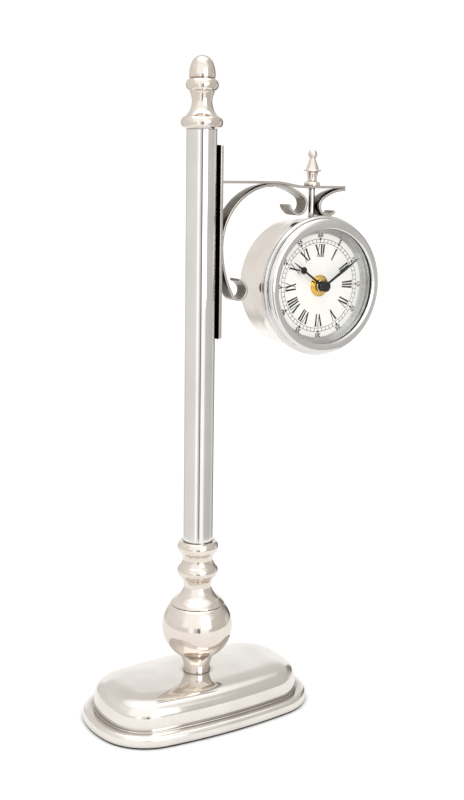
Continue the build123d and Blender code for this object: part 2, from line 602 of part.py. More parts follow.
# ---------------------------------------------------------------- clock case pieces
def make_case():
    front = DIAL_BACK
    shoulder_middle = DRUM_SHOULDER * (1 - cos(radians(45)))
    shoulder_start = DRUM_REAR - DRUM_SHOULDER
    rear_radius = DRUM_RADIUS - DRUM_SHOULDER
    inner_shoulder = DRUM_SHOULDER - DRUM_WALL
    inner_middle = inner_shoulder * (1 - cos(radians(45)))
    drum = outline_of([
        (DRUM_BORE, front),
        (SPIGOT_FRONT_RADIUS, front),
        (SPIGOT_FRONT_RADIUS, BAND_FRONT),
        (BAND_RADIUS - 0.4, BAND_FRONT),
        (BAND_RADIUS, BAND_FRONT + 0.4),
        (BAND_RADIUS, BAND_REAR - 0.5),
        (BAND_RADIUS - 0.5, BAND_REAR),
        (DRUM_RADIUS, BAND_REAR),
        (DRUM_RADIUS, shoulder_start),
        (DRUM_RADIUS - shoulder_middle, DRUM_REAR - shoulder_middle, rear_radius, DRUM_REAR),
        (rear_radius, DRUM_REAR - DRUM_WALL),
        (DRUM_BORE - inner_middle, DRUM_REAR - DRUM_WALL - inner_middle, DRUM_BORE, shoulder_start),
    ])
    case = head_turned(drum)
    case -= disc(HANGER_RADIUS + HOLE_CLEARANCE, HEAD_Z + DRUM_BORE - 3, HEAD_Z + BAND_RADIUS + 2, x=HEAD_X)
    keep("drum_case", case)

    skirt = SPIGOT_FRONT_RADIUS + BEZEL_FIT
    rear = BAND_FRONT - BEZEL_REAR_GAP
    bezel = outline_of([
        (skirt, rear),
        (BAND_RADIUS + 0.1, rear),
        (BAND_RADIUS + 0.5, rear - 0.8),
        (BAND_RADIUS + 0.5, rear - 1.9),
        (BEZEL_RADIUS - 0.7, rear - 2.5),
        (BEZEL_RADIUS, rear - 4.0, BEZEL_RADIUS - 0.7, rear - 5.6),
        (BEZEL_RADIUS - 1.3, rear - 6.0),
        (BEZEL_RADIUS - BEZEL_ROLL / 2, BEZEL_FRONT + 1.3, BEZEL_RADIUS - BEZEL_ROLL, BEZEL_FRONT),
        (BEZEL_MOUTH + 1.4, BEZEL_FRONT + 0.1, BEZEL_MOUTH, LIP_BACK - 0.4),
        (BEZEL_MOUTH, LIP_BACK),
        (GLASS_RADIUS + BEZEL_FIT, LIP_BACK),
        (GLASS_RADIUS + BEZEL_FIT, DIAL_FACE - 0.4),
        (skirt, DIAL_FACE - 0.4),
    ])
    keep("bezel_ring", head_turned(bezel))

    outer_edge = BEZEL_MOUTH - 0.2
    outer_apex = LIP_BACK - GLASS_DOME
    inner_edge = outer_edge - 1.0
    inner_apex = outer_apex + GLASS_THICKNESS
    glass = outline_of([
        (0.0, outer_apex),
        (*dome_middle(outer_edge, LIP_BACK, outer_apex), outer_edge, LIP_BACK),
        (GLASS_RADIUS, LIP_BACK),
        (GLASS_RADIUS, GLASS_BACK),
        (inner_edge, GLASS_BACK),
        (*dome_middle(inner_edge, GLASS_BACK, inner_apex), 0.0, inner_apex),
    ])
    keep("glass", head_turned(glass))

    gasket_inner = BEZEL_MOUTH + 0.8
    gasket = head_disc(GLASS_RADIUS, GLASS_BACK, GLASS_BACK + GASKET_THICKNESS, gasket_inner)
    keep("glass_gasket", gasket)

    top = GLASS_BACK + GASKET_THICKNESS + 0.1
    sheet = REFLECTOR_SHEET
    reflector = outline_of([
        (REFLECTOR_INNER, DIAL_FACE),
        (REFLECTOR_INNER, DIAL_FACE - sheet),
        (GLASS_RADIUS - 1.2, top),
        (GLASS_RADIUS - 0.2, top),
        (GLASS_RADIUS - 0.2, top + sheet),
        (GLASS_RADIUS - 0.9, top + sheet),
        (REFLECTOR_INNER + 1.4, DIAL_FACE),
    ])
    keep("reflector_ring", head_turned(reflector))

    dial_radius = SPIGOT_FRONT_RADIUS - DIAL_INSET
    keep("dial_plate", head_disc(dial_radius, DIAL_FACE, DIAL_BACK, BUSHING_RADIUS + HOLE_CLEARANCE))


# ---------------------------------------------------------------- movement pieces
def gear(teeth, front, rear, phase, x=0.0, z=0.0):
    """Spur wheel with low tapered teeth; phase turns its first tooth from the +X direction."""
    pitch = GEAR_MODULE * teeth / 2
    root = pitch - 0.8 * GEAR_MODULE
    tip = pitch + 0.55 * GEAR_MODULE
    foot = 0.23 * pi * GEAR_MODULE
    crest = 0.11 * pi * GEAR_MODULE
    tooth = Polygon((root - 0.2, -foot), (tip, -crest), (tip, crest), (root - 0.2, foot), align=None)
    sketch = Circle(root)
    for count in range(teeth):
        sketch += Rot(0, 0, phase + count * 360 / teeth) * tooth
    wheel = extrude(sketch, rear - front)
    return Pos(HEAD_X + x, rear, HEAD_Z + z) * Rot(90, 0, 0) * wheel


def make_movement():
    half = CASE_HALF
    inner = CASE_INNER
    box = head_box(-half, half, CASE_FRONT, CASE_REAR, -half, half)
    box = fillet(box.edges().filter_by(Axis.Y), 2.0)
    rib_bottom = BAY_RIB_TOP - BAY_RIB_THICKNESS
    box -= head_box(-inner, inner, CASE_FLOOR, CASE_REAR, BAY_RIB_TOP, inner)
    box -= head_box(-inner, inner, CASE_FLOOR, CASE_REAR, -inner, rib_bottom)
    box -= head_disc(BUSHING_RADIUS + HOLE_CLEARANCE, CASE_FRONT, CASE_FLOOR)
    pivot_bore = PIVOT_RADIUS + RUNNING_FIT
    box -= head_disc(pivot_bore, CASE_FRONT + 0.4, CASE_FLOOR, z=MOTION_OFFSET)
    keep("movement_case", box)

    gap = HOLE_CLEARANCE
    cover = head_box(-inner + gap, inner - gap, COVER_FRONT, CASE_REAR, BAY_RIB_TOP + gap, inner - gap)
    cover -= head_disc(pivot_bore, COVER_FRONT, CASE_REAR, z=MOTION_OFFSET)
    boss = head_disc(2.4, COVER_FRONT - 3.0, COVER_FRONT)
    cover += boss
    cover -= head_disc(pivot_bore, COVER_FRONT - 3.0, CASE_REAR - 0.5)
    keep("movement_cover", cover)

    flange_rear = CASE_FLOOR + BUSHING_FLANGE_THICKNESS
    bushing = head_disc(BUSHING_RADIUS, BUSHING_FRONT, CASE_FLOOR) + head_disc(
        BUSHING_FLANGE, CASE_FLOOR, flange_rear)
    bushing -= head_disc(HOUR_PIPE_RADIUS + RUNNING_FIT, BUSHING_FRONT, flange_rear)
    keep("threaded_bushing", bushing)
    washer_bore = BUSHING_RADIUS + HOLE_CLEARANCE
    keep("rubber_washer", head_disc(RUBBER_RADIUS, DIAL_BACK, CASE_FRONT, washer_bore))
    washer_front = DIAL_FACE - BRASS_WASHER_THICKNESS
    keep("brass_washer", head_disc(BRASS_WASHER_RADIUS, washer_front, DIAL_FACE, washer_bore))
    nut = Pos(HEAD_X, washer_front, HEAD_Z) * Rot(90, 0, 0) * extrude(
        RegularPolygon(NUT_WIDTH / 2, 6, major_radius=False, rotation=30), NUT_HEIGHT)
    keep("fixing_nut", nut - head_disc(washer_bore, washer_front - NUT_HEIGHT, washer_front))


def make_motor():
    floor = CASE_FLOOR
    inner = CASE_INNER
    stator = head_box(-24, 6, floor, floor + 0.8, 19.6, 25.6)
    rotor_z = 22.6
    stator -= head_disc(2.2, floor, floor + 0.8, x=-19, z=rotor_z)
    keep("stator_plate", stator)
    bobbin = Pos(HEAD_X - 5, floor + 0.8 + 2.9, HEAD_Z + rotor_z) * Rot(0, 90, 0) * Cylinder(2.9, 16)
    keep("drive_coil", bobbin)
    rotor = head_disc(1.8, floor + 0.2, floor + 3.2, x=-19, z=rotor_z)
    rotor += head_disc(0.4, floor, COVER_FRONT, x=-19, z=rotor_z)
    keep("motor_rotor", rotor)
    board = head_box(11, inner - 1.0, floor, floor + 0.8, -8.0, 24.0)
    chip = head_box(14, 20, floor + 0.8, floor + 2.2, 6.0, 12.0)
    crystal = Pos(HEAD_X + 21, floor + 0.8 + 1.0, HEAD_Z + 18) * Rot(0, 90, 0) * Cylinder(1.0, 6)
    keep("circuit_board", Compound([board + chip + crystal]))


def make_wheels():
    motion_z = MOTION_OFFSET
    pivot = PIVOT_RADIUS
    # teeth of the hour wheel straddle the first tooth of the motion pinion, likewise the other pair
    hour = gear(HOUR_TEETH, HOUR_WHEEL_FRONT, HOUR_WHEEL_REAR, 90 + 180 / HOUR_TEETH)
    hour += head_disc(HOUR_PIPE_RADIUS, HOUR_PIPE_FRONT, HOUR_WHEEL_REAR)
    hour -= head_disc(MINUTE_ARBOR_RADIUS + RUNNING_FIT, HOUR_PIPE_FRONT, HOUR_WHEEL_REAR)
    keep("hour_wheel", hour)

    cannon = gear(CANNON_TEETH, MOTION_WHEEL_FRONT, MOTION_WHEEL_REAR + 0.4, 90 + 180 / CANNON_TEETH)
    cannon += head_disc(MINUTE_ARBOR_RADIUS, MINUTE_ARBOR_FRONT, MOTION_WHEEL_FRONT)
    cannon += head_disc(pivot, MOTION_WHEEL_REAR, CASE_REAR - 0.8)
    keep("minute_arbor", cannon)

    motion = gear(MOTION_TEETH, MOTION_WHEEL_FRONT + 0.2, MOTION_WHEEL_REAR + 0.2, 90, z=motion_z)
    motion += gear(MOTION_PINION_TEETH, HOUR_WHEEL_FRONT, MOTION_WHEEL_FRONT + 0.2, 90, z=motion_z)
    motion += head_disc(pivot, CASE_FRONT + 0.6, CASE_REAR + KNOB_GAP + KNOB_HEIGHT - 1.0, z=motion_z)
    keep("motion_wheel", motion)

    knob_front = CASE_REAR + KNOB_GAP
    knob_rear = knob_front + KNOB_HEIGHT
    knob = head_disc(KNOB_RADIUS, knob_front, knob_rear, z=motion_z)
    for count in range(18):
        angle = radians(count * 20)
        knob -= head_disc(0.45, knob_front, knob_rear, x=KNOB_RADIUS * cos(angle),
                          z=motion_z + KNOB_RADIUS * sin(angle))
    knob -= head_disc(pivot + 0.02, knob_front, knob_rear - 0.8, z=motion_z)
    keep("set_knob", knob)


def hand_frame(angle, back):
    """Place a flat hand drawn along +Y so that it points at a clock angle, its back at y = back."""
    return Pos(HEAD_X, back, HEAD_Z) * Rot(0, angle, 0) * Rot(90, 0, 0)


def make_hands():
    pipe = HOUR_PIPE_RADIUS + 0.02
    arbor = MINUTE_ARBOR_RADIUS + 0.02
    disc_at = 18.3
    disc_radius = 2.3
    blade = Polygon((0.75, 0), (0.6, disc_at), (0.2, HOUR_HAND_LENGTH), (-0.2, HOUR_HAND_LENGTH),
                    (-0.6, disc_at), (-0.75, 0), align=None)
    hour = disc(HUB_RADIUS, 0, HUB_HEIGHT) + extrude(blade, HAND_THICKNESS)
    hour += disc(disc_radius, 0, HAND_THICKNESS, y=disc_at)
    hour -= disc(pipe, 0, HUB_HEIGHT)
    keep("hour_hand", hand_frame(HOUR_HAND_ANGLE, HOUR_HAND_BACK) * hour)

    widest_at = 20.0
    baton = Polygon((0.7, 0), (0.95, widest_at), (0.15, MINUTE_HAND_LENGTH),
                    (-0.15, MINUTE_HAND_LENGTH), (-0.95, widest_at), (-0.7, 0), align=None)
    minute = disc(HUB_RADIUS - 0.4, 0, HAND_THICKNESS) + extrude(baton, HAND_THICKNESS)
    minute -= disc(arbor, 0, HAND_THICKNESS)
    keep("minute_hand", hand_frame(MINUTE_HAND_ANGLE, MINUTE_HAND_BACK) * minute)

    cap_back = MINUTE_ARBOR_FRONT
    cap = head_disc(HUB_RADIUS, cap_back - CAP_HEIGHT, cap_back)
    rim = cap.edges().filter_by(GeomType.CIRCLE).sort_by(Axis.Y)[0]
    keep("hub_cap", fillet(rim, 0.6))


# ---------------------------------------------------------------- battery and contacts
def make_battery():
    half = BATTERY_LENGTH / 2
    body_length = BATTERY_LENGTH - BATTERY_NUB_LENGTH
    centre = Pos(HEAD_X - half, BATTERY_Y, HEAD_Z + BATTERY_Z) * Rot(0, 90, 0)
    body = Cylinder(BATTERY_RADIUS, body_length, align=(Align.CENTER, Align.CENTER, Align.MIN))
    body = fillet(body.edges().filter_by(GeomType.CIRCLE), 0.5)
    nub = Pos(0, 0, body_length) * Cylinder(
        BATTERY_NUB_RADIUS, BATTERY_NUB_LENGTH, align=(Align.CENTER, Align.CENTER, Align.MIN))
    keep("battery", centre * (body + nub))

    rib_bottom = BAY_RIB_TOP - BAY_RIB_THICKNESS
    for name, side in (("negative_contact", -1), ("positive_contact", 1)):
        wall = side * CASE_INNER
        face = side * (CASE_INNER - CONTACT_THICKNESS)
        low, high = sorted((wall, face))
        plate = head_box(low, high, CASE_FLOOR, CASE_REAR - 2.0, -CASE_INNER, rib_bottom)
        tip = side * (half + CONTACT_GAP)
        middle = Pos(HEAD_X + (face + tip) / 2, BATTERY_Y, HEAD_Z + BATTERY_Z) * Rot(0, 90, 0)
        keep(name, plate + middle * Cylinder(CONTACT_BUTTON_RADIUS, abs(face - tip)))


def main():
    make_base()
    make_column()
    make_bracket()
    make_hanger()
    make_case()
    make_movement()
    make_motor()
    make_wheels()
    make_hands()
    make_battery()
    os.makedirs("parts", exist_ok=True)
    for name, shape in PARTS.items():
        export_step(shape, f"parts/{name}.step")


main()
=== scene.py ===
import json
from math import asin, atan2, ceil, cos, hypot, pi, radians, sin, sqrt, tan

import bmesh
import bpy
from mathutils import Matrix, Vector


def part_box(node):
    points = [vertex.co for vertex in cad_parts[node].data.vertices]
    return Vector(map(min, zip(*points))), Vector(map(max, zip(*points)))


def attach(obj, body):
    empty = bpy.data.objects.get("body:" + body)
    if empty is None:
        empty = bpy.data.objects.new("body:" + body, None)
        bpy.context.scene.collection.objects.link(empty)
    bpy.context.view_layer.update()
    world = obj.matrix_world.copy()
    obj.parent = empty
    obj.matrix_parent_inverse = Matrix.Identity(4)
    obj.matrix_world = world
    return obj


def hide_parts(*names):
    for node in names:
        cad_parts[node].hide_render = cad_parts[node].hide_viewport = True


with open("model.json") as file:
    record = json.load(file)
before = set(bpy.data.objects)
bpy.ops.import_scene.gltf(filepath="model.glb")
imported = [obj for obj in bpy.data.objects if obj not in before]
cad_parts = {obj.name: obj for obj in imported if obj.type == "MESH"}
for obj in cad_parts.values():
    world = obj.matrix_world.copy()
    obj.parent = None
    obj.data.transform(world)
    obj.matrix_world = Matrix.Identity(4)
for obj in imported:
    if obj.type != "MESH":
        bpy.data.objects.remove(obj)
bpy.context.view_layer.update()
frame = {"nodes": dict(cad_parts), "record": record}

MM = 0.001
ARC_STEP = radians(4)
TURN_SEGMENTS = 192
# Near-black of the painted shade that ambient occlusion mixes into the nickel in joints and hollows.
PAINTED_SHADE_COLOUR = (0.05, 0.04, 0.033)
FLOOR_RADIUS = 370
BACKDROP = 1.12


# ---------------------------------------------------------------- small helpers
def node_box(node):
    """Lowest and highest corner of a CAD node in millimetres."""
    low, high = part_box(node)
    return low / MM, high / MM


def arc_through(start, middle, end):
    """Points after start along the circle through three points, the last one being end."""
    ax, ay = start
    bx, by = middle
    cx, cy = end
    d = 2 * (ax * (by - cy) + bx * (cy - ay) + cx * (ay - by))
    if abs(d) < 1e-9:
        return [end]
    a2, b2, c2 = ax * ax + ay * ay, bx * bx + by * by, cx * cx + cy * cy
    ux = (a2 * (by - cy) + b2 * (cy - ay) + c2 * (ay - by)) / d
    uy = (a2 * (cx - bx) + b2 * (ax - cx) + c2 * (bx - ax)) / d
    radius = hypot(ax - ux, ay - uy)
    first = atan2(ay - uy, ax - ux)
    mid = atan2(by - uy, bx - ux)
    last = atan2(cy - uy, cx - ux)
    sweep = (last - first) % (2 * pi)
    if (mid - first) % (2 * pi) > sweep:
        sweep -= 2 * pi
    count = max(2, ceil(abs(sweep) / ARC_STEP))
    return [(ux + radius * cos(first + sweep * i / count), uy + radius * sin(first + sweep * i / count))
            for i in range(1, count + 1)]


def smooth_outline(entries, rounding=0.25):
    """Outline from corners (r, z) and arcs (mid r, mid z, r, z), with every sharp corner rounded off."""
    points = [entries[0]]
    for entry in entries[1:]:
        if len(entry) == 4:
            points += arc_through(points[-1], entry[:2], entry[2:])
        else:
            points.append(entry)
    if rounding <= 0:
        return points
    rounded = []
    total = len(points)
    for i, point in enumerate(points):
        before = Vector(points[i - 1]) - Vector(point)
        after = Vector(points[(i + 1) % total]) - Vector(point)
        if before.length < 1e-6 or after.length < 1e-6:
            continue
        turn = pi - before.angle(after)
        if turn < radians(20):
            rounded.append(point)
            continue
        reach = min(rounding * tan(turn / 2), before.length * 0.45, after.length * 0.45)
        start = Vector(point) + before.normalized() * reach
        end = Vector(point) + after.normalized() * reach
        for step in range(5):
            t = step / 4
            blend = start * (1 - t) ** 2 + Vector(point) * 2 * t * (1 - t) + end * t ** 2
            rounded.append((blend.x, blend.y))
    return rounded


def mesh_object(name, vertices, faces, sharp=30):
    """Mesh object from millimetre coordinates, smooth except across sharp edges."""
    mesh = bpy.data.meshes.new(name)
    mesh.from_pydata([(x * MM, y * MM, z * MM) for x, y, z in vertices], [], faces)
    mesh.validate()
    work = bmesh.new()
    work.from_mesh(mesh)
    bmesh.ops.remove_doubles(work, verts=work.verts, dist=1e-7)
    bmesh.ops.recalc_face_normals(work, faces=work.faces)
    work.to_mesh(mesh)
    work.free()
    mesh.shade_smooth()
    mesh.set_sharp_from_angle(angle=radians(sharp))
    made = bpy.data.objects.new(name, mesh)
    bpy.context.scene.collection.objects.link(made)
    return made


def lathe(name, outline, place=None, segments=TURN_SEGMENTS):
    """Ring or solid turned from an (r, h) outline about its own upright axis, then placed by a matrix."""
    place = place or Matrix.Identity(4)
    vertices = []
    for step in range(segments):
        angle = 2 * pi * step / segments
        for r, h in outline:
            vertices.append(tuple(place @ Vector((r * cos(angle), r * sin(angle), h))))
    count = len(outline)
    faces = []
    for step in range(segments):
        after = (step + 1) % segments
        for i in range(count):
            j = (i + 1) % count
            if outline[i][0] < 1e-6 and outline[j][0] < 1e-6:
                continue
            corners = [step * count + i, step * count + j, after * count + j, after * count + i]
            faces.append(corners)
    return mesh_object(name, vertices, faces)


def prism(name, outline, low, high, place=None, bevel=0.15, segments=2):
    """Flat outline (x, y) raised between two heights, its edges bevelled, then placed by a matrix."""
    place = place or Matrix.Identity(4)
    count = len(outline)
    vertices = [tuple(place @ Vector((x, y, low))) for x, y in outline]
    vertices += [tuple(place @ Vector((x, y, high))) for x, y in outline]
    faces = [list(range(count))[::-1], list(range(count, 2 * count))]
    for i in range(count):
        j = (i + 1) % count
        faces.append([i, j, count + j, count + i])
    made = mesh_object(name, vertices, faces)
    if bevel:
        add_bevel(made, bevel, segments)
    return made


def add_bevel(piece, width, segments=2, angle=35):
    """Round the sharp edges of a piece for good."""
    work = bmesh.new()
    work.from_mesh(piece.data)
    edges = [e for e in work.edges if len(e.link_faces) == 2 and e.calc_face_angle() > radians(angle)]
    bmesh.ops.bevel(work, geom=edges, offset=width * MM, segments=segments, profile=0.5,
                    affect="EDGES", clamp_overlap=True)
    work.to_mesh(piece.data)
    work.free()
    piece.data.shade_smooth()
    piece.data.set_sharp_from_angle(angle=radians(40))


def joined(name, pieces):
    """One object out of several, which keep their shapes."""
    work = bmesh.new()
    for piece in pieces:
        work.from_mesh(piece.data)
    mesh = bpy.data.meshes.new(name)
    work.to_mesh(mesh)
    work.free()
    for piece in pieces:
        bpy.data.objects.remove(piece)
    mesh.shade_smooth()
    mesh.set_sharp_from_angle(angle=radians(30))
    made = bpy.data.objects.new(name, mesh)
    bpy.context.scene.collection.objects.link(made)
    return made


def finish_piece(piece, material, body="stand", stands_for=()):
    """Give a piece its material and body, and hide the CAD nodes it stands for."""
    piece.data.materials.clear()
    piece.data.materials.append(material)
    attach(piece, body)
    if stands_for:
        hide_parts(*stands_for)
    return piece


def facing_front(x, y, z):
    """Matrix that turns an upright axis towards -Y, the side of the dial, at a place in millimetres."""
    return Matrix.Translation((x, y, z)) @ Matrix.Rotation(radians(90), 4, "X")


# ---------------------------------------------------------------- materials
class Shader:
    """A node material with the few nodes that every finish here needs."""

    def __init__(self, name):
        self.material = bpy.data.materials.new(name)
        self.material.use_nodes = True
        self.tree = self.material.node_tree
        self.bsdf = self.tree.nodes["Principled BSDF"]
        self.place = self.tree.nodes.new("ShaderNodeTexCoord").outputs["Object"]

    def node(self, kind):
        return self.tree.nodes.new(kind)

    def link(self, source, target):
        self.tree.links.new(source, target)

    def noise(self, scale, detail=3.0, stretch=(1, 1, 1)):
        mapping = self.node("ShaderNodeMapping")
        mapping.inputs["Scale"].default_value = stretch
        self.link(self.place, mapping.inputs["Vector"])
        noise = self.node("ShaderNodeTexNoise")
        noise.inputs["Scale"].default_value = scale
        noise.inputs["Detail"].default_value = detail
        self.link(mapping.outputs["Vector"], noise.inputs["Vector"])
        return noise.outputs["Fac"]

    def spread(self, source, low, high, source_low=0.3, source_high=0.7):
        ramp = self.node("ShaderNodeMapRange")
        ramp.inputs["From Min"].default_value = source_low
        ramp.inputs["From Max"].default_value = source_high
        ramp.inputs["To Min"].default_value = low
        ramp.inputs["To Max"].default_value = high
        self.link(source, ramp.inputs["Value"])
        return ramp.outputs["Result"]

    def mix(self, factor, first, second):
        mixer = self.node("ShaderNodeMix")
        mixer.data_type = "RGBA"
        mixer.inputs["A"].default_value = (*first, 1)
        mixer.inputs["B"].default_value = (*second, 1)
        self.link(factor, mixer.inputs["Factor"])
        return mixer.outputs["Result"]

    def bump(self, height, strength, distance):
        bump = self.node("ShaderNodeBump")
        bump.inputs["Strength"].default_value = strength
        bump.inputs["Distance"].default_value = distance
        self.link(height, bump.inputs["Height"])
        self.link(bump.outputs["Normal"], self.bsdf.inputs["Normal"])


def polished_nickel(name, bright, dull, rough=0.07, smear=0.10, wave=0.25, reach=0.006):
    """Buffed nickel plate: slight waves, finger smears, a drifting tint, and painted shade, where ambient
    occlusion mixes a near-black into the colour in the joints and hollows.
    """
    s = Shader(name)
    s.bsdf.inputs["Metallic"].default_value = 1.0
    buffed = s.mix(s.spread(s.noise(38, 4), 0, 1), bright, dull)
    # Painted shade: where other surfaces lie within reach, the colour turns towards the near-black.
    shade_occlusion = s.node("ShaderNodeAmbientOcclusion")
    shade_occlusion.samples = 8
    shade_occlusion.inputs["Distance"].default_value = reach
    painted_shade_mix = s.node("ShaderNodeMix")
    painted_shade_mix.data_type = "RGBA"
    painted_shade_mix.inputs["A"].default_value = (*PAINTED_SHADE_COLOUR, 1)
    s.link(buffed, painted_shade_mix.inputs["B"])
    s.link(s.spread(shade_occlusion.outputs["AO"], 0, 1, 0.2, 0.82), painted_shade_mix.inputs["Factor"])
    s.link(painted_shade_mix.outputs["Result"], s.bsdf.inputs["Base Color"])
    smears = s.noise(70, 6, (1, 1, 0.45))
    s.link(s.spread(smears, rough, rough + smear, 0.45, 0.8), s.bsdf.inputs["Roughness"])
    s.bump(s.noise(55, 2), wave, 0.00012)
    return s.material


def plain_metal(name, colour, dull, rough, grain=900):
    """Turned or stamped metal with a fine grain."""
    s = Shader(name)
    s.bsdf.inputs["Metallic"].default_value = 1.0
    s.link(s.mix(s.spread(s.noise(160, 4), 0, 1), colour, dull), s.bsdf.inputs["Base Color"])
    s.link(s.spread(s.noise(grain, 3), rough * 0.8, rough * 1.4), s.bsdf.inputs["Roughness"])
    s.bump(s.noise(grain, 3), 0.12, 0.00004)
    return s.material


def moulded(name, colour, dull, rough, grain=1600, gloss=0.5):
    """Plastic, paint, card or rubber with a fine grain and a tint that drifts."""
    s = Shader(name)
    s.bsdf.inputs["Specular IOR Level"].default_value = gloss
    s.link(s.mix(s.spread(s.noise(120, 4), 0, 1), colour, dull), s.bsdf.inputs["Base Color"])
    s.link(s.spread(s.noise(240, 3), rough * 0.85, min(1, rough * 1.2)), s.bsdf.inputs["Roughness"])
    s.bump(s.noise(grain, 2), 0.25, 0.00003)
    return s.material


def clear_glass(name):
    """Thin clear glass: see-through, with a reflection that grows towards its edge and faint smears."""
    s = Shader(name)
    s.bsdf.inputs["Base Color"].default_value = (0.97, 0.985, 0.98, 1)
    s.bsdf.inputs["Metallic"].default_value = 1.0
    s.link(s.spread(s.noise(90, 5), 0.02, 0.09, 0.5, 0.85), s.bsdf.inputs["Roughness"])
    edge = s.node("ShaderNodeFresnel")
    edge.inputs["IOR"].default_value = 1.33
    s.link(s.spread(edge.outputs["Fac"], 0.01, 0.5, 0.02, 1.0), s.bsdf.inputs["Alpha"])
    return s.material


NICKEL_CAST = polished_nickel("nickel_cast", (0.79, 0.73, 0.67), (0.68, 0.615, 0.555))
NICKEL_BASE = polished_nickel("nickel_base", (0.80, 0.765, 0.725), (0.72, 0.685, 0.64), 0.08, 0.1, 0.2)
NICKEL_TUBE = polished_nickel(
    "nickel_tube", (0.79, 0.775, 0.76), (0.71, 0.695, 0.68), 0.04, 0.05, 0.08, 0.002)
NICKEL_STRIP = polished_nickel("nickel_strip", (0.69, 0.65, 0.60), (0.54, 0.50, 0.455), 0.09, 0.14, 0.35)
# Darker copy of the strip nickel for the broad faces of the bars and plate: painted shade and painted dark
# reflection.
STRIP_FACE_PAINTED_SHADE = polished_nickel("strip_face_painted_shade", (0.38, 0.345, 0.31), (0.15, 0.135, 0.12), 0.14, 0.2, 0.4, 0.016)
NICKEL_DRUM = polished_nickel("nickel_drum", (0.88, 0.84, 0.79), (0.78, 0.73, 0.68), 0.07, 0.08, 0.18)
NICKEL_BEZEL = polished_nickel(
    "nickel_bezel", (0.74, 0.73, 0.72), (0.64, 0.63, 0.615), 0.06, 0.07, 0.12, 0.003)
STEEL = plain_metal("zinc_steel", (0.62, 0.62, 0.61), (0.50, 0.50, 0.50), 0.25)
BRASS = plain_metal("turned_brass", (0.94, 0.69, 0.24), (0.82, 0.56, 0.17), 0.18)
COPPER = plain_metal("coil_wire", (0.70, 0.30, 0.14), (0.52, 0.20, 0.09), 0.35)
ALUMINIUM = plain_metal("satin_reflector", (0.62, 0.615, 0.605), (0.50, 0.495, 0.485), 0.30)
CONTACT = plain_metal("contact_spring", (0.78, 0.76, 0.72), (0.66, 0.64, 0.60), 0.2)
IRON = moulded("painted_iron", (0.06, 0.06, 0.065), (0.10, 0.09, 0.085), 0.6, 500)
FELT = moulded("pressed_felt", (0.012, 0.012, 0.013), (0.035, 0.034, 0.036), 0.95, 2600)
CARD = moulded("dial_card", (0.95, 0.94, 0.90), (0.92, 0.91, 0.865), 0.6, 3000)
INK = moulded("black_ink", (0.006, 0.006, 0.007), (0.012, 0.012, 0.014), 0.85, 3000, 0.1)
HAND_PAINT = moulded("black_enamel", (0.004, 0.004, 0.005), (0.010, 0.010, 0.012), 0.45, 2200, 0.2)
CASE_PLASTIC = moulded("case_plastic", (0.028, 0.028, 0.030), (0.045, 0.045, 0.048), 0.5)
WHEEL_PLASTIC = moulded("wheel_plastic", (0.82, 0.80, 0.74), (0.76, 0.74, 0.68), 0.4)
KNOB_PLASTIC = moulded("knob_plastic", (0.05, 0.05, 0.055), (0.08, 0.08, 0.085), 0.45)
BOARD = moulded("resin_board", (0.03, 0.16, 0.07), (0.02, 0.11, 0.05), 0.4)
RUBBER = moulded("soft_rubber", (0.02, 0.02, 0.02), (0.035, 0.035, 0.034), 0.8)
SLEEVE = moulded("cell_sleeve", (0.03, 0.05, 0.09), (0.04, 0.06, 0.11), 0.22)
GLASS = clear_glass("dial_glass")

SLOT_MATERIAL = {
    "nickel_casting": NICKEL_CAST, "nickel_tube": NICKEL_TUBE, "nickel_strip": NICKEL_STRIP,
    "nickel_drum": NICKEL_DRUM, "nickel_bezel": NICKEL_BEZEL, "steel": STEEL, "ballast_iron": IRON,
    "felt": FELT, "brass": BRASS, "reflector": ALUMINIUM, "dial_paper": CARD,
    "case_plastic": CASE_PLASTIC, "wheel_plastic": WHEEL_PLASTIC, "knob_plastic": KNOB_PLASTIC,
    "board": BOARD, "copper": COPPER, "rubber": RUBBER, "contact_steel": CONTACT,
    "clear_glass": GLASS, "hand_black": HAND_PAINT, "battery_sleeve": SLEEVE,
}
for part in frame["record"]["subparts"]:
    mesh = frame["nodes"][part["node"]].data
    mesh.materials.clear()
    mesh.materials.append(SLOT_MATERIAL[part["material_slot"]])


# ---------------------------------------------------------------- where things are
BASE_LOW, BASE_HIGH = node_box("base_casting")
SEAM = node_box("lower_baluster")[1].z
TUBE_FOOT, TUBE_HEAD = (corner.z for corner in node_box("column_tube"))
ACORN_FOOT, ACORN_TIP = (corner.z for corner in node_box("acorn_finial"))
PLATE_LOW, PLATE_HIGH = node_box("wall_plate")
BAR_CORNER, BAR_FAR = node_box("top_bar")
THICK = 1.6
CLEAR = 0.05
SIDE_RADIUS, CORNER_RADIUS, END_RADIUS = 340.0, 34.0, 68.0
SHOULDER_HEIGHT, SHOULDER_RUN, SHOULDER_FULLNESS = 18.0, 19.0, 0.83
LEDGE = 7.0
ROD_BORE = 3.05
TUBE_RADIUS, TUBE_BORE, SPIGOT_RADIUS, SPIGOT_LENGTH = 9.5, 8.3, 8.2, 9
BALL_RADIUS, SEAM_RADIUS, BEAD_RADIUS = 22.9, 17.6, 13.2
BRACE_RADIUS, DIP_RADIUS, DIP_ANGLE, DIP_RUN = 37.85, 50, 9, 10.2
TRACK_OUTER, TRACK_INNER = 29.8, 27.5
NUMERAL_FOOT, NUMERAL_HEAD = 18.5, 26.5
FIGURE_RADIUS, FIGURE_HEIGHT, FIGURE_STRETCH = 31.95, 2.5, 1.22
INK_THICKNESS = 0.04
HOUR_ANGLE, MINUTE_ANGLE, HAND_THICKNESS = 304.8, 57.6, 0.4
HOUR_HUB_RADIUS, MINUTE_HUB_RADIUS, CAP_RADIUS = 3.4, 3.0, 3.4
WIDE = BAR_FAR.y - BAR_CORNER.y
BAR_LEVEL = BAR_FAR.z - THICK / 2
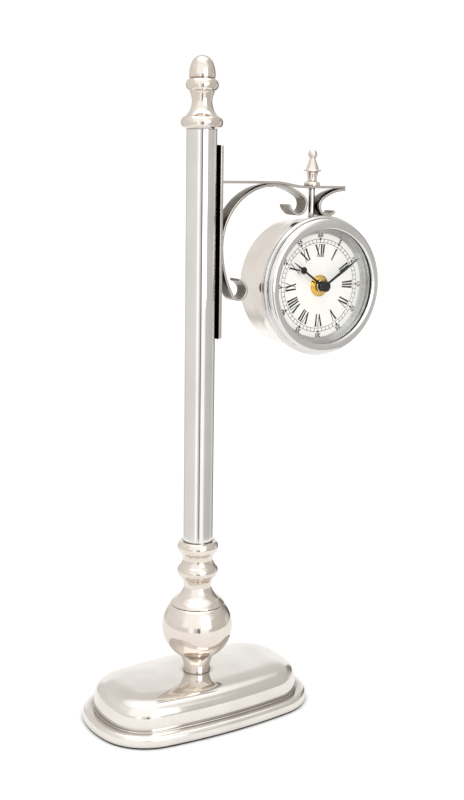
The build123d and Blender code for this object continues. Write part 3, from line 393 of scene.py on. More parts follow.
BAR_DROPPED = BAR_CORNER.z + THICK / 2
DRUM_CORNER, DRUM_FAR = node_box("drum_case")
HEAD_X = (DRUM_CORNER.x + DRUM_FAR.x) / 2
HEAD_Z = (DRUM_CORNER.z + DRUM_FAR.z) / 2
BAND = (DRUM_FAR.z - DRUM_CORNER.z) / 2
DRUM_R = BAND - 1.0
REAR = DRUM_FAR.y
BEZEL_FACE = node_box("bezel_ring")[0].y
BEZEL_R = (node_box("bezel_ring")[1].z - node_box("bezel_ring")[0].z) / 2
DIAL = node_box("dial_plate")[0].y
MOUTH = DRUM_R - 5.2
GLASS_R = MOUTH + 1.6
LIP = BEZEL_FACE + 1.2
FACE = facing_front(HEAD_X, 0, HEAD_Z)


def turned_head(name, outline, segments=TURN_SEGMENTS):
    """Ring of the clock head from an (r, y) outline, its axis along Y."""
    return lathe(name, [(r, -y) for r, y in outline], FACE, segments)


# ---------------------------------------------------------------- base
def oval_points(inset, step=3.0):
    """The base's oval moved in by inset, as points all round."""
    half_length, half_width = BASE_HIGH.x, BASE_HIGH.y
    side_y, end_x = half_width - SIDE_RADIUS, half_length - END_RADIUS
    apart = hypot(end_x, side_y)
    from_side, from_end = SIDE_RADIUS - CORNER_RADIUS, END_RADIUS - CORNER_RADIUS
    reach = (from_side ** 2 - from_end ** 2 + apart ** 2) / (2 * apart)
    aside = sqrt(from_side ** 2 - reach ** 2)
    cx = end_x / apart * reach - side_y / apart * aside
    cy = side_y - side_y / apart * reach - end_x / apart * aside
    turn_side = atan2(cy - side_y, cx)
    turn_end = atan2(cy, cx - end_x)
    quarter = []
    for centre, radius, start, stop in (
            ((end_x, 0), END_RADIUS, 0, turn_end), ((cx, cy), CORNER_RADIUS, turn_end, turn_side),
            ((0, side_y), SIDE_RADIUS, turn_side, pi / 2)):
        count = max(4, ceil(abs(stop - start) * radius / step))
        for i in range(count):
            turn = start + (stop - start) * i / count
            out = radius - inset
            quarter.append((centre[0] + out * cos(turn), centre[1] + out * sin(turn)))
    quarter.append((0.0, half_width - inset))
    left = [(-x, y) for x, y in quarter[-2::-1]]
    upper = quarter + left
    lower = [(-x, -y) for x, y in upper[1:-1]]
    return upper + lower


def swept_oval(name, outline):
    """Solid from an (inset, z) outline carried round the oval, closed flat at both ends."""
    rings = [[(x, y, z) for x, y in oval_points(inset)] for inset, z in outline]
    count = len(rings[0])
    vertices = [point for ring in rings for point in ring]
    faces = [list(range(count))]
    for level in range(len(rings) - 1):
        for i in range(count):
            j = (i + 1) % count
            start, above = level * count, (level + 1) * count
            faces.append([start + i, start + j, above + j, above + i])
    faces.append(list(range((len(rings) - 1) * count, len(rings) * count)))
    return mesh_object(name, vertices, faces, 32)


def make_base():
    foot, lid = BASE_LOW.z, BASE_HIGH.z
    step = lid - SHOULDER_HEIGHT
    shoulder = []
    for i in range(29):
        t = i / 28
        third, last = 3 * (1 - t) * t ** 2, t ** 3
        reach = LEDGE + third * SHOULDER_RUN * (1 - SHOULDER_FULLNESS) + last * SHOULDER_RUN
        rise = 3 * (1 - t) ** 2 * t * SHOULDER_FULLNESS * (lid - step) + (third + last) * (lid - step)
        shoulder.append((reach, step + rise))
    rim = [(3 - 3 * cos(radians(a)), step - 3 + 3 * sin(radians(a))) for a in range(0, 91, 9)]
    outline = [(20, foot), (0.9, foot), (0.35, foot + 0.12), (0, foot + 0.5)] + rim
    outline += [(5.9, step), (6.6, step - 0.14), (LEDGE - 0.02, step + 0.12)] + shoulder[1:]
    finish_piece(swept_oval("base", outline), NICKEL_BASE, stands_for=("base_casting",))
    pad_low, pad_high = node_box("felt_pad")
    pad = [(24, pad_low.z), (1.0, pad_low.z), (0.6, pad_low.z + 0.3), (0.6, pad_high.z), (24, pad_high.z)]
    finish_piece(swept_oval("felt", pad), FELT, stands_for=("felt_pad",))


# ---------------------------------------------------------------- column
def make_column():
    rod, top = ROD_BORE, BASE_HIGH.z
    centre = SEAM - sqrt(BALL_RADIUS ** 2 - SEAM_RADIUS ** 2)
    foot, neck = 12.6, top + 10.5
    foot_height = centre - sqrt(BALL_RADIUS ** 2 - foot ** 2)
    lower = smooth_outline([
        (rod, top), (9.0, top), (8.7, top + 4.5, 9.5, neck - 3.2), (10.2, neck - 1.2),
        (foot - 1.0, foot_height - 0.6), (foot, foot_height), (BALL_RADIUS, centre, 17.9, SEAM - 0.7),
        (16.9, SEAM), (rod, SEAM)], 0.3)
    finish_piece(lathe("ball_baluster", lower), NICKEL_CAST,
                 stands_for=("lower_baluster",))
    bead = BEAD_RADIUS
    upper = smooth_outline([
        (rod, SEAM), (16.9, SEAM), (17.4, SEAM + 0.5), (16.0, SEAM + 2.4, 14.1, SEAM + 4.1),
        (13.8, SEAM + 4.1), (10.9, SEAM + 7.0, 8.8, SEAM + 11.4),
        (9.4, SEAM + 14.6, bead - 1.6, SEAM + 18.6),
        (bead, SEAM + 22.2, bead - 1.6, SEAM + 25.8), (9.9, SEAM + 30.2, bead - 1.3, SEAM + 34.5),
        (bead, SEAM + 38.4, bead - 1.3, TUBE_FOOT - 0.4), (bead - 2.0, TUBE_FOOT),
        (SPIGOT_RADIUS, TUBE_FOOT),
        (SPIGOT_RADIUS, TUBE_FOOT + SPIGOT_LENGTH), (rod, TUBE_FOOT + SPIGOT_LENGTH)], 0.16)
    finish_piece(lathe("waist_baluster", upper), NICKEL_CAST,
                 stands_for=("upper_baluster",))
    tube = [(TUBE_BORE, TUBE_FOOT), (9.3, TUBE_FOOT), (TUBE_RADIUS, TUBE_FOOT + 0.2)]
    tube += [(TUBE_RADIUS, TUBE_FOOT + 0.2 + (TUBE_HEAD - TUBE_FOOT - 0.4) * i / 24) for i in range(1, 25)]
    tube += [(9.3, TUBE_HEAD), (TUBE_BORE, TUBE_HEAD)]
    finish_piece(lathe("tube", tube, segments=160), NICKEL_TUBE, stands_for=("column_tube",))
    collar = smooth_outline([
        (rod, TUBE_HEAD - SPIGOT_LENGTH), (SPIGOT_RADIUS, TUBE_HEAD - SPIGOT_LENGTH),
        (SPIGOT_RADIUS, TUBE_HEAD), (10.1, TUBE_HEAD),
        (12.2, TUBE_HEAD + 1.3), (13.0, TUBE_HEAD + 4.4, 11.7, TUBE_HEAD + 7.0),
        (7.9, TUBE_HEAD + 10.6, 6.5, TUBE_HEAD + 14.5), (6.6, TUBE_HEAD + 18.8, 8.0, TUBE_HEAD + 22.0),
        (10.1, TUBE_HEAD + 26.2, 9.0, ACORN_FOOT - 1.0), (7.7, ACORN_FOOT), (rod, ACORN_FOOT)], 0.25)
    finish_piece(lathe("collar", collar), NICKEL_CAST, stands_for=("top_collar",))
    acorn = smooth_outline([
        (3.0, ACORN_FOOT), (7.7, ACORN_FOOT), (8.1, ACORN_FOOT + 0.6),
        (7.6, ACORN_FOOT + 6.2, 6.0, ACORN_TIP - 3.2), (3.2, ACORN_TIP - 0.87, 0.0, ACORN_TIP),
        (0.0, ACORN_FOOT + 6.6), (3.0, ACORN_FOOT + 6.6)], 0.0)
    finish_piece(lathe("acorn", acorn), NICKEL_CAST, stands_for=("acorn_finial",))


# ---------------------------------------------------------------- bracket
def bent_path(start, heading, turns):
    """Points and directions along tangent arcs (radius, angle) and lines (length, None)."""
    angle, (x, z) = radians(heading), start
    path = [(x, z, angle)]
    for size, sweep in turns:
        if sweep is None:
            for i in range(1, 9):
                path.append((x + size * cos(angle) * i / 8, z + size * sin(angle) * i / 8, angle))
        else:
            side = 1 if sweep > 0 else -1
            cx, cz = x - side * size * sin(angle), z + side * size * cos(angle)
            count = max(3, ceil(abs(sweep) / 3))
            for i in range(1, count + 1):
                turn = angle + radians(sweep) * i / count
                path.append((cx + side * size * sin(turn), cz - side * size * cos(turn), turn))
        x, z, angle = path[-1]
    return path


def bent_strip(name, start, heading, turns, thickness=THICK, width=WIDE):
    """Flat bar with rounded edges, bent along a path in the plane of the arm."""
    half_t, half_w, edge = thickness / 2, width / 2, 0.32
    section = []
    for sign_t, sign_w, first in ((1, 1, 0), (-1, 1, 90), (-1, -1, 180), (1, -1, 270)):
        for step in range(5):
            turn = radians(first + 22.5 * step)
            across = sign_t * (half_t - edge) + edge * cos(turn)
            section.append((across, sign_w * (half_w - edge) + edge * sin(turn)))
    vertices, faces, count = [], [], len(section)
    path = bent_path(start, heading, turns)
    for x, z, angle in path:
        for t, w in section:
            vertices.append((x - t * sin(angle), w, z + t * cos(angle)))
    for i in range(len(path) - 1):
        for a in range(count):
            b = (a + 1) % count
            faces.append([i * count + a, i * count + b, (i + 1) * count + b, (i + 1) * count + a])
    faces += [list(range(count)), list(range((len(path) - 1) * count, len(path) * count))]
    return mesh_object(name, vertices, faces, 34)


def paint_shade_on_flats(piece):
    """Darker second copy of the strip nickel on the broad flat sides of a bent bar, as painted shade and
    painted dark reflection.
    """
    piece.data.materials.append(STRIP_FACE_PAINTED_SHADE)
    for face in piece.data.polygons:
        if abs(face.normal.y) < 0.35:
            face.material_index = 1


def slotted_screw(name, x, z):
    """Round screw head facing +X with a driver slot."""
    place = Matrix.Translation((x, 0, z)) @ Matrix.Rotation(radians(90), 4, "Y")
    outline = [(0.0, -2.4), (1.4, -2.4), (1.4, 0), (2.45, 0.0), (2.6, 0.15), (2.6, 0.7), (2.45, 1.02),
               (2.2, 1.25), (1.8, 1.38), (0.0, 1.4)]
    head = lathe(name, outline, place, 48)
    work = bmesh.new()
    work.from_mesh(head.data)
    for side in (-0.35, 0.35):
        bmesh.ops.bisect_plane(work, geom=work.verts[:] + work.edges[:] + work.faces[:],
                               plane_co=(0, 0, (z + side) * MM), plane_no=(0, 0, 1))
    for vertex in work.verts:
        if vertex.co.x > (x + 1.0) * MM and abs(vertex.co.z / MM - z) < 0.36:
            vertex.co.x = (x + 0.72) * MM
    work.to_mesh(head.data)
    work.free()
    head.data.set_sharp_from_angle(angle=radians(25))
    return head


def make_bracket():
    half = (PLATE_HIGH.y - PLATE_LOW.y) / 2
    corner = 1.5
    outline = []
    middle = (PLATE_LOW.z + PLATE_HIGH.z) / 2
    tall = (PLATE_HIGH.z - PLATE_LOW.z) / 2
    for sx, sz, first in ((1, 1, 0), (-1, 1, 90), (-1, -1, 180), (1, -1, 270)):
        for step in range(7):
            turn = radians(first + 15 * step)
            across = sx * (half - corner) + corner * cos(turn)
            outline.append((across, sz * (tall - corner) + corner * sin(turn)))
    stand_up = Matrix(((0, 0, 1, 0), (1, 0, 0, 0), (0, 1, 0, middle), (0, 0, 0, 1)))
    plate = prism("plate", outline, PLATE_LOW.x, PLATE_HIGH.x, stand_up, 0.3, 3)
    paint_shade_on_flats(finish_piece(plate, NICKEL_STRIP, stands_for=("wall_plate",)))

    brace_x = PLATE_HIGH.x + CLEAR + THICK / 2
    crest = BAR_LEVEL - THICK - CLEAR
    crest_x = brace_x + BRACE_RADIUS
    dip = 2 * DIP_RADIUS * sin(radians(DIP_ANGLE)) + DIP_RUN * cos(radians(DIP_ANGLE))
    bar = bent_strip("arm", (BAR_CORNER.x, BAR_LEVEL), 0, [
        (crest_x - BAR_CORNER.x, None), (DIP_RADIUS, -DIP_ANGLE), (DIP_RUN, None), (DIP_RADIUS, DIP_ANGLE),
        (BAR_FAR.x - crest_x - dip, None)])
    paint_shade_on_flats(finish_piece(bar, NICKEL_STRIP, stands_for=("top_bar",)))
    wall_point = (brace_x, crest - BRACE_RADIUS)
    upper = bent_strip("brace_upper", wall_point, 90, [
        (BRACE_RADIUS, -90), (40, -34), (6.2, -178), (9, -42)])
    lower = bent_strip("brace_lower", wall_point, 270, [(60, 30), (5.6, 195), (12, 25)])
    paint_shade_on_flats(finish_piece(joined("brace", [upper, lower]), NICKEL_STRIP,
                              stands_for=("brace_scroll",)))
    lead = radians(35)
    stop_x = HEAD_X + 2.1 + 0.4 + THICK / 2
    lead_radius = (BAR_FAR.x - stop_x - 6 * (1 - sin(lead))) / sin(lead)
    end = bent_strip("end_curl", (BAR_FAR.x, BAR_DROPPED - THICK - CLEAR), 180, [
        (lead_radius, 35), (6, 150), (9, 40)])
    paint_shade_on_flats(finish_piece(end, NICKEL_STRIP, stands_for=("end_scroll",)))
    screws = [slotted_screw("screw_low", PLATE_HIGH.x, PLATE_LOW.z + 8),
              slotted_screw("screw_high", PLATE_HIGH.x, PLATE_HIGH.z - 8)]
    finish_piece(joined("screws", screws), STEEL, stands_for=("plate_screws",))
    dome = [(0.0, -2.6), (1.2, -2.6), (1.2, 0), (2.0, 0), (1.95, 0.2), (1.75, 0.42), (1.3, 0.6),
            (0.7, 0.68), (0.0, 0.7)]
    sag = 4 / (2 * (BRACE_RADIUS - THICK)) + 0.02
    down = Matrix.Translation((crest_x, 0, crest - THICK / 2 - sag)) @ Matrix.Rotation(pi, 4, "X")
    side = Matrix.Translation((brace_x + THICK / 2 + sag, 0, wall_point[1]))
    side = side @ Matrix.Rotation(radians(90), 4, "Y")
    rivets = joined("rivets", [lathe("rivet_a", dome, down, 48), lathe("rivet_b", dome, side, 48)])
    finish_piece(rivets, NICKEL_STRIP, stands_for=("bracket_rivets",))


def make_hanger():
    low, high = node_box("hanger_spacer")
    top = BAR_DROPPED + THICK / 2
    spacer = smooth_outline([(1.3, low.z + 0.12), (2.1, low.z + 0.12), (2.1, high.z), (1.3, high.z)], 0.15)
    spacer = lathe("spacer", spacer, Matrix.Translation((HEAD_X, 0, 0)), 64)
    finish_piece(spacer, NICKEL_STRIP, stands_for=("hanger_spacer",))
    throat_height = 19.7 - sqrt(3.05 ** 2 - 1.9 ** 2)
    finial = smooth_outline([
        (1.3, 0), (5.0, 0), (5.2, 0.2), (5.2, 1.4), (4.6, 2.4, 3.65, 2.8), (3.05, 3.4),
        (3.15, 5.8, 3.95, 8.3), (5.6, 9.1), (5.9, 9.6), (5.6, 10.0), (4.3, 10.5), (1.9, throat_height),
        (3.05, 19.7, 0.0, 22.75), (0.0, 7.5), (1.3, 7.5)], 0.12)
    finial = lathe("finial", finial, Matrix.Translation((HEAD_X, 0, top)), 128)
    finish_piece(finial, NICKEL_CAST, stands_for=("cone_finial",))


# ---------------------------------------------------------------- clock case
def make_case():
    bore, front = DRUM_R - 1.2, node_box("dial_plate")[1].y
    spigot, band_rear, band_front = BAND - 0.8, 2.4, -8.5
    drop = 5 * (1 - cos(radians(45)))
    inner = 3.8 * (1 - cos(radians(45)))
    drum = smooth_outline([
        (bore, front), (spigot, front), (spigot, band_front), (BAND - 0.4, band_front),
        (BAND, band_front + 0.4), (BAND, band_rear - 0.5), (BAND - 0.5, band_rear),
        (DRUM_R + 0.12, band_rear), (DRUM_R, band_rear + 0.12),
        (DRUM_R, 6), (DRUM_R, 11), (DRUM_R, REAR - 5), (DRUM_R - drop, REAR - drop, DRUM_R - 5, REAR),
        (DRUM_R - 5, REAR - 1.2), (bore - inner, REAR - 1.2 - inner, bore, REAR - 5)], 0.2)
    finish_piece(turned_head("drum", drum, 256), NICKEL_DRUM, stands_for=("drum_case",))
    skirt, rear = spigot + 0.1, band_front - 0.3
    bezel = smooth_outline([
        (skirt, rear), (BAND + 0.1, rear), (BAND + 0.5, rear - 0.8), (BAND + 0.5, rear - 1.9),
        (BEZEL_R - 0.7, rear - 2.5), (BEZEL_R, rear - 4.0, BEZEL_R - 0.7, rear - 5.6),
        (BEZEL_R - 1.3, rear - 6.0),
        (BEZEL_R - 2.15, BEZEL_FACE + 1.3, BEZEL_R - 4.3, BEZEL_FACE),
        (MOUTH + 1.4, BEZEL_FACE + 0.1, MOUTH, LIP - 0.4), (MOUTH, LIP), (GLASS_R + 0.1, LIP),
        (GLASS_R + 0.1, DIAL - 0.4), (skirt, DIAL - 0.4)], 0.18)
    finish_piece(turned_head("bezel", bezel, 256), NICKEL_BEZEL, "bezel", ("bezel_ring",))
    edge, apex, seat = MOUTH - 0.2, LIP - 4.2, LIP + 1.6
    outer, back = [], []
    for rim_y, apex_y, rim_r, target in ((LIP, apex, edge, outer), (seat, apex + 1.6, edge - 1, back)):
        rise = rim_y - apex_y
        sphere = (rim_r ** 2 + rise ** 2) / (2 * rise)
        for i in range(33):
            r = rim_r * i / 32
            target.append((r, apex_y + sphere - sqrt(sphere ** 2 - r ** 2)))
    glass = outer + [(GLASS_R - 0.1, LIP), (GLASS_R, LIP + 0.1), (GLASS_R, seat)] + back[::-1]
    finish_piece(turned_head("dome_glass", glass, 192), GLASS, "bezel", ("glass",))
    slope_in, slope_out = MOUTH - 3.4, GLASS_R - 1.2
    top = seat + 0.6
    steps = [(slope_in + (slope_out - slope_in) * i / 12, DIAL - 0.6 + (top - DIAL + 0.6) * i / 12)
             for i in range(13)]
    reflector = [(slope_in, DIAL), (slope_in, DIAL - 0.4)] + steps + [
        (GLASS_R - 0.2, top), (GLASS_R - 0.2, top + 0.6), (GLASS_R - 0.9, top + 0.6),
        (slope_in + 1.4, DIAL)]
    finish_piece(turned_head("reflector", reflector, 192), ALUMINIUM,
                 stands_for=("reflector_ring",))


# ---------------------------------------------------------------- dial and its printing
def arc_strip(inner, outer, first, last, count):
    """Ring sector outline in the plane of the dial."""
    turns = [first + (last - first) * i / count for i in range(count + 1)]
    outside = [(outer * sin(t), outer * cos(t)) for t in turns]
    return outside + [(inner * sin(t), inner * cos(t)) for t in turns[::-1]]


def bent_to_dial(points, angle, middle_radius):
    """Carry a drawing (across, radius) to a clock angle so that its strokes point at the centre."""
    placed = []
    for across, radius in points:
        turn = angle + across / middle_radius
        placed.append((radius * sin(turn), radius * cos(turn)))
    return placed


def numeral_strokes(letters, foot, head):
    """Strokes of a Roman numeral, thick and thin, with thin serifs, as (across, radius) quads."""
    widths = {"I": 1.75, "V": 3.7, "X": 3.9}
    total = sum(widths[letter] for letter in letters)
    left = -total / 2
    strokes = []
    for letter in letters:
        width = widths[letter]
        middle = left + width / 2
        thick, thin, serif = 0.56, 0.22, 0.26
        if letter == "I":
            spans = ((middle, middle, thick),)
        elif letter == "V":
            spans = ((left + 0.75, middle + 0.1, thick), (left + width - 0.7, middle + 0.1, thin))
        else:
            spans = ((left + 0.7, left + width - 0.7, thick), (left + width - 0.7, left + 0.7, thin))
        for at_head, at_foot, half in spans:
            strokes.append([(at_head - half, head), (at_head + half, head),
                            (at_foot + half, foot), (at_foot - half, foot)])
            reach = half + 0.33
            if letter != "V":
                strokes.append([(at_foot - reach, foot), (at_foot + reach, foot),
                                (at_foot + reach, foot + serif), (at_foot - reach, foot + serif)])
            strokes.append([(at_head - reach, head - serif), (at_head + reach, head - serif),
                            (at_head + reach, head), (at_head - reach, head)])
        left += width
    return strokes


def small_number(text, angle, radius, height):
    """Printed figure standing on the track, its head outwards."""
    curve = bpy.data.curves.new("figure", "FONT")
    curve.body = text
    curve.align_x = "CENTER"
    curve.align_y = "CENTER"
    curve.size = height * MM * 1.38
    curve.extrude = 0.00002
    curve.offset = 0.0001
    curve.resolution_u = 4
    holder = bpy.data.objects.new("figure", curve)
    bpy.context.scene.collection.objects.link(holder)
    bpy.context.view_layer.update()
    mesh = bpy.data.meshes.new_from_object(holder.evaluated_get(bpy.context.evaluated_depsgraph_get()))
    place = Matrix.Translation((radius * MM * sin(angle), radius * MM * cos(angle), (0.02 - DIAL) * MM))
    turn = FACE.copy()
    turn.translation = FACE.translation * MM
    upright = Matrix.Rotation(-angle, 4, "Z") @ Matrix.Diagonal((FIGURE_STRETCH, 1, 1, 1))
    mesh.transform(turn @ place @ upright)
    bpy.data.objects.remove(holder)
    bpy.data.curves.remove(curve)
    made = bpy.data.objects.new("figure", mesh)
    bpy.context.scene.collection.objects.link(made)
    return made


def make_dial():
    card_radius = (node_box("dial_plate")[1].z - node_box("dial_plate")[0].z) / 2
    back = node_box("dial_plate")[1].y
    card = [(4.0, DIAL)] + [(4.0 + (card_radius - 4.15) * i / 20, DIAL) for i in range(1, 21)]
    card += [(card_radius, DIAL + 0.15), (card_radius, back), (4.0, back)]
    finish_piece(turned_head("dial_card", card), CARD, stands_for=("dial_plate",))
    low, high = -DIAL, -DIAL + INK_THICKNESS
    ink = []

    def printed(outline):
        ink.append(prism("print", outline, low, high, FACE, 0))

    outer, inner = TRACK_OUTER, TRACK_INNER
    for radius in (outer, inner):
        for quarter in range(4):
            first = quarter * pi / 2
            printed(arc_strip(radius - 0.13, radius + 0.13, first, first + pi / 2, 40))
    for minute in range(60):
        turn = minute * pi / 30
        printed(bent_to_dial([(-0.15, inner), (0.15, inner), (0.15, outer), (-0.15, outer)], turn, inner))
        if minute % 5 == 0:
            x, y = outer * sin(turn), outer * cos(turn)
            printed([(x + 0.78 * cos(a * pi / 10), y + 0.78 * sin(a * pi / 10)) for a in range(20)])
            spike = [(-0.16, inner - 0.5), (0.16, inner - 0.5), (0.16, outer + 0.9), (-0.16, outer + 0.9)]
            printed(bent_to_dial(spike, turn, inner))
    numerals = ["XII", "I", "II", "III", "IV", "V", "VI", "VII", "VIII", "IX", "X", "XI"]
    for hour, letters in enumerate(numerals):
        for stroke in numeral_strokes(letters, NUMERAL_FOOT, NUMERAL_HEAD):
            printed(bent_to_dial(stroke, hour * pi / 6, 23.5))
    for step in range(1, 13):
        ink.append(small_number(str(step * 5), step * pi / 6, FIGURE_RADIUS, FIGURE_HEIGHT))
    finish_piece(joined("dial_printing", ink), INK)


# ---------------------------------------------------------------- hands and their fixing
def make_hands():
    washer_low, washer_high = node_box("brass_washer")
    washer = smooth_outline([
        (4.0, washer_high.y), (7.0, washer_high.y), (7.0, washer_low.y), (4.0, washer_low.y)], 0.14)
    finish_piece(turned_head("dial_washer", washer, 96), BRASS, stands_for=("brass_washer",))
    nut_front, nut_back = node_box("fixing_nut")[0].y, node_box("fixing_nut")[1].y
    flat = 10.5 / 2
    vertices, faces, rings = [], [], []
    for height, reach in ((nut_back, flat * 1.13), (nut_front + 0.45, flat * 1.155), (nut_front, flat)):
        ring = []
        for i in range(72):
            turn = radians(5 * i)
            to_flat = flat / cos((turn % (pi / 3)) - pi / 6)
            ring.append((min(reach, to_flat) * cos(turn), min(reach, to_flat) * sin(turn), -height))
        rings.append(ring)
    rings.append([(4.0 * cos(radians(5 * i)), 4.0 * sin(radians(5 * i)), -nut_front) for i in range(72)])
    rings.append([(4.0 * cos(radians(5 * i)), 4.0 * sin(radians(5 * i)), -nut_back) for i in range(72)])
    for ring in rings:
        vertices += [tuple(FACE @ Vector(point)) for point in ring]
    for level in range(len(rings)):
        after = (level + 1) % len(rings)
        for i in range(72):
            j = (i + 1) % 72
            faces.append([level * 72 + i, level * 72 + j, after * 72 + j, after * 72 + i])
    finish_piece(mesh_object("hand_nut", vertices, faces, 25), BRASS, stands_for=("fixing_nut",))

    front = node_box("threaded_bushing")[0].y
    inside, flange_y = 2.58, node_box("threaded_bushing")[1].y
    thread = [(inside, front), (3.55, front), (3.7, front + 0.15)]
    pitch = 0.5
    y = front + 0.15
    while y < nut_front + 0.2:
        thread += [(3.95, y + pitch * 0.35), (3.95, y + pitch * 0.5), (3.66, y + pitch * 0.85)]
        y += pitch
    thread += [(3.95, y + 0.2), (3.95, flange_y - 0.5), (5.2, flange_y - 0.5), (5.2, flange_y),
               (inside, flange_y)]
    finish_piece(turned_head("bushing", thread, 96), BRASS, stands_for=("threaded_bushing",))

    def flat_hand(name, outline, back, thickness, angle, hub, hub_height, bore):
        turn = Matrix.Rotation(-radians(angle), 4, "Z")
        blade = prism(name + "_blade", outline, -back, -back + thickness, FACE @ turn, 0.1, 2)
        ring = smooth_outline([(bore, 0), (hub, 0), (hub, hub_height), (bore, hub_height)], 0.12)
        boss = lathe(name + "_boss", ring, FACE @ Matrix.Translation((0, 0, -back)), 72)
        return joined(name, [blade, boss])

    back = node_box("hour_hand")[1].y
    at, disc = 18.3, 2.3
    hour = [(0.75, 2.6)]
    start = asin(0.6 / disc)
    turns = [start + (pi - 2 * start) * i / 24 for i in range(25)]
    hour += [(disc * sin(t), at - disc * cos(t)) for t in turns]
    hour += [(0.2, 27.4), (0.0, 27.5)]
    hour += [(-x, y) for x, y in hour[-2::-1]]
    hour = flat_hand("hour_pointer", hour, back, HAND_THICKNESS, HOUR_ANGLE, HOUR_HUB_RADIUS, 1.0, 2.52)
    finish_piece(hour, HAND_PAINT, "hour", ("hour_hand",))
    back = node_box("minute_hand")[1].y
    minute = [(0.7, 1.9), (0.95, 20.0), (0.15, 32.1), (0.0, 32.3)]
    minute += [(-x, y) for x, y in minute[-2::-1]]
    minute = flat_hand("minute_pointer", minute, back, HAND_THICKNESS, MINUTE_ANGLE, MINUTE_HUB_RADIUS,
                       HAND_THICKNESS, 1.77)
    finish_piece(minute, HAND_PAINT, "minute", ("minute_hand",))
    cap_front, cap_back = node_box("hub_cap")[0].y, node_box("hub_cap")[1].y
    cap = [(0.0, cap_back), (3.3, cap_back), (CAP_RADIUS, cap_back - 0.1), (CAP_RADIUS, cap_front + 0.7)]
    cap += [(2.7 + 0.7 * cos(radians(a)), cap_front + 0.7 - 0.6 * sin(radians(a)))
            for a in range(10, 91, 10)]
    cap += [(1.6, cap_front + 0.02), (0.0, cap_front)]
    finish_piece(turned_head("centre_cap", cap, 96), HAND_PAINT, "minute", ("hub_cap",))


# ---------------------------------------------------------------- what shows from behind
def make_rear():
    low, high = node_box("set_knob")
    x, z, radius = (low.x + high.x) / 2, (low.z + high.z) / 2, (high.x - low.x) / 2
    outline = []
    for i in range(144):
        turn = 2 * pi * i / 144
        out = radius - 0.22 - 0.2 * cos(18 * turn)
        outline.append((out * cos(turn), out * sin(turn)))
    place = facing_front(x, 0, z)
    knob = prism("knob", outline, -high.y, -low.y, place, 0.25, 2)
    finish_piece(knob, KNOB_PLASTIC, "setter", ("set_knob",))

    low, high = node_box("battery")
    radius, y, z = (high.z - low.z) / 2, (low.y + high.y) / 2, (low.z + high.z) / 2
    place = Matrix.Translation((0, y, z)) @ Matrix.Rotation(radians(90), 4, "Y")
    far, body_end = high.x, high.x - 1.3
    sleeve = smooth_outline([(0.0, low.x + 0.35), (5.2, low.x + 0.35), (5.6, low.x), (radius - 0.35, low.x),
                             (radius, low.x + 0.5), (radius, body_end - 14.5), (radius, body_end - 0.5),
                             (radius - 0.4, body_end), (radius - 1.9, body_end),
                             (radius - 2.1, body_end - 0.3),
                             (2.75, body_end - 0.2), (2.75, far - 0.3), (2.4, far), (0.0, far)], 0.1)
    cell = lathe("cell", sleeve, place, 96)
    finish_piece(cell, SLEEVE, "cell", ("battery",))
    cell.data.materials.append(CONTACT)
    cell.data.materials.append(COPPER)
    for face in cell.data.polygons:
        centre = face.center / MM
        across = hypot(centre.y - y, centre.z - z)
        if across < radius - 1.4:
            face.material_index = 1
        elif centre.x > body_end - 14.5:
            face.material_index = 2


make_base()
make_column()
make_bracket()
make_hanger()
make_case()
make_dial()
make_hands()
make_rear()


# ---------------------------------------------------------------- camera and studio
def make_camera():
    """Camera fitted to the photograph: 31 degrees left of straight in front of the column, tilted down."""
    azimuth, distance, height = radians(31.0), 0.73388, 0.34927
    yaw, pitch, roll = radians(32.6), radians(11.09), radians(0.86)
    lens_widths = 1.49394
    ahead = Vector((sin(yaw) * cos(pitch), cos(yaw) * cos(pitch), -sin(pitch)))
    level = Vector((cos(yaw), -sin(yaw), 0))
    upright = level.cross(ahead)
    right = level * cos(roll) + upright * sin(roll)
    up = upright * cos(roll) - level * sin(roll)
    data = bpy.data.cameras.new("camera")
    data.sensor_width = 36
    data.lens = 36 * lens_widths
    data.clip_start = 0.01
    camera = bpy.data.objects.new("camera", data)
    turn = Matrix((right, up, -ahead)).transposed().to_4x4()
    place = Matrix.Translation((-distance * sin(azimuth), -distance * cos(azimuth), height))
    camera.matrix_world = place @ turn
    bpy.context.scene.collection.objects.link(camera)
    bpy.context.scene.camera = camera


def area_light(name, place, target, width, height, power):
    data = bpy.data.lights.new(name, "AREA")
    data.shape = "RECTANGLE"
    data.size = width
    data.size_y = height
    data.energy = power
    light = bpy.data.objects.new(name, data)
    light.location = place
    light.rotation_mode = "QUATERNION"
    light.rotation_quaternion = (Vector(target) - Vector(place)).to_track_quat("-Z", "Y")
    bpy.context.scene.collection.objects.link(light)


def sky_ramp(tree, around, stops):
    """Brightness round the horizon: (degrees clockwise from the camera, brightness, warmth) stops."""
    ramp = tree.nodes.new("ShaderNodeValToRGB")
    elements = ramp.color_ramp.elements
    for i, (degrees, level, warmth) in enumerate(stops):
        place = (degrees + 180) / 360
        if i in (0, len(stops) - 1):
            stop = elements[-1 if i else 0]
        else:
            stop = elements.new(place)
        stop.position = place
        stop.color = (level * (1 + warmth), level, level * (1 - warmth), 1)
    tree.links.new(around, ramp.inputs["Fac"])
    return ramp.outputs["Color"]


def sky_blend(tree, height, low, high, below, above):
    """Fade from one sky to another between two heights, given as sines of the elevation."""
    fade = tree.nodes.new("ShaderNodeMapRange")
    fade.interpolation_type = "SMOOTHSTEP"
    fade.inputs["From Min"].default_value = low
    fade.inputs["From Max"].default_value = high
    tree.links.new(height, fade.inputs["Value"])
    mixer = tree.nodes.new("ShaderNodeMix")
    mixer.data_type = "RGBA"
    tree.links.new(fade.outputs["Result"], mixer.inputs["Factor"])
    for socket, value in (("A", below), ("B", above)):
        if isinstance(value, tuple):
            mixer.inputs[socket].default_value = (*value, 1)
        else:
            tree.links.new(value, mixer.inputs[socket])
    return mixer.outputs["Result"]


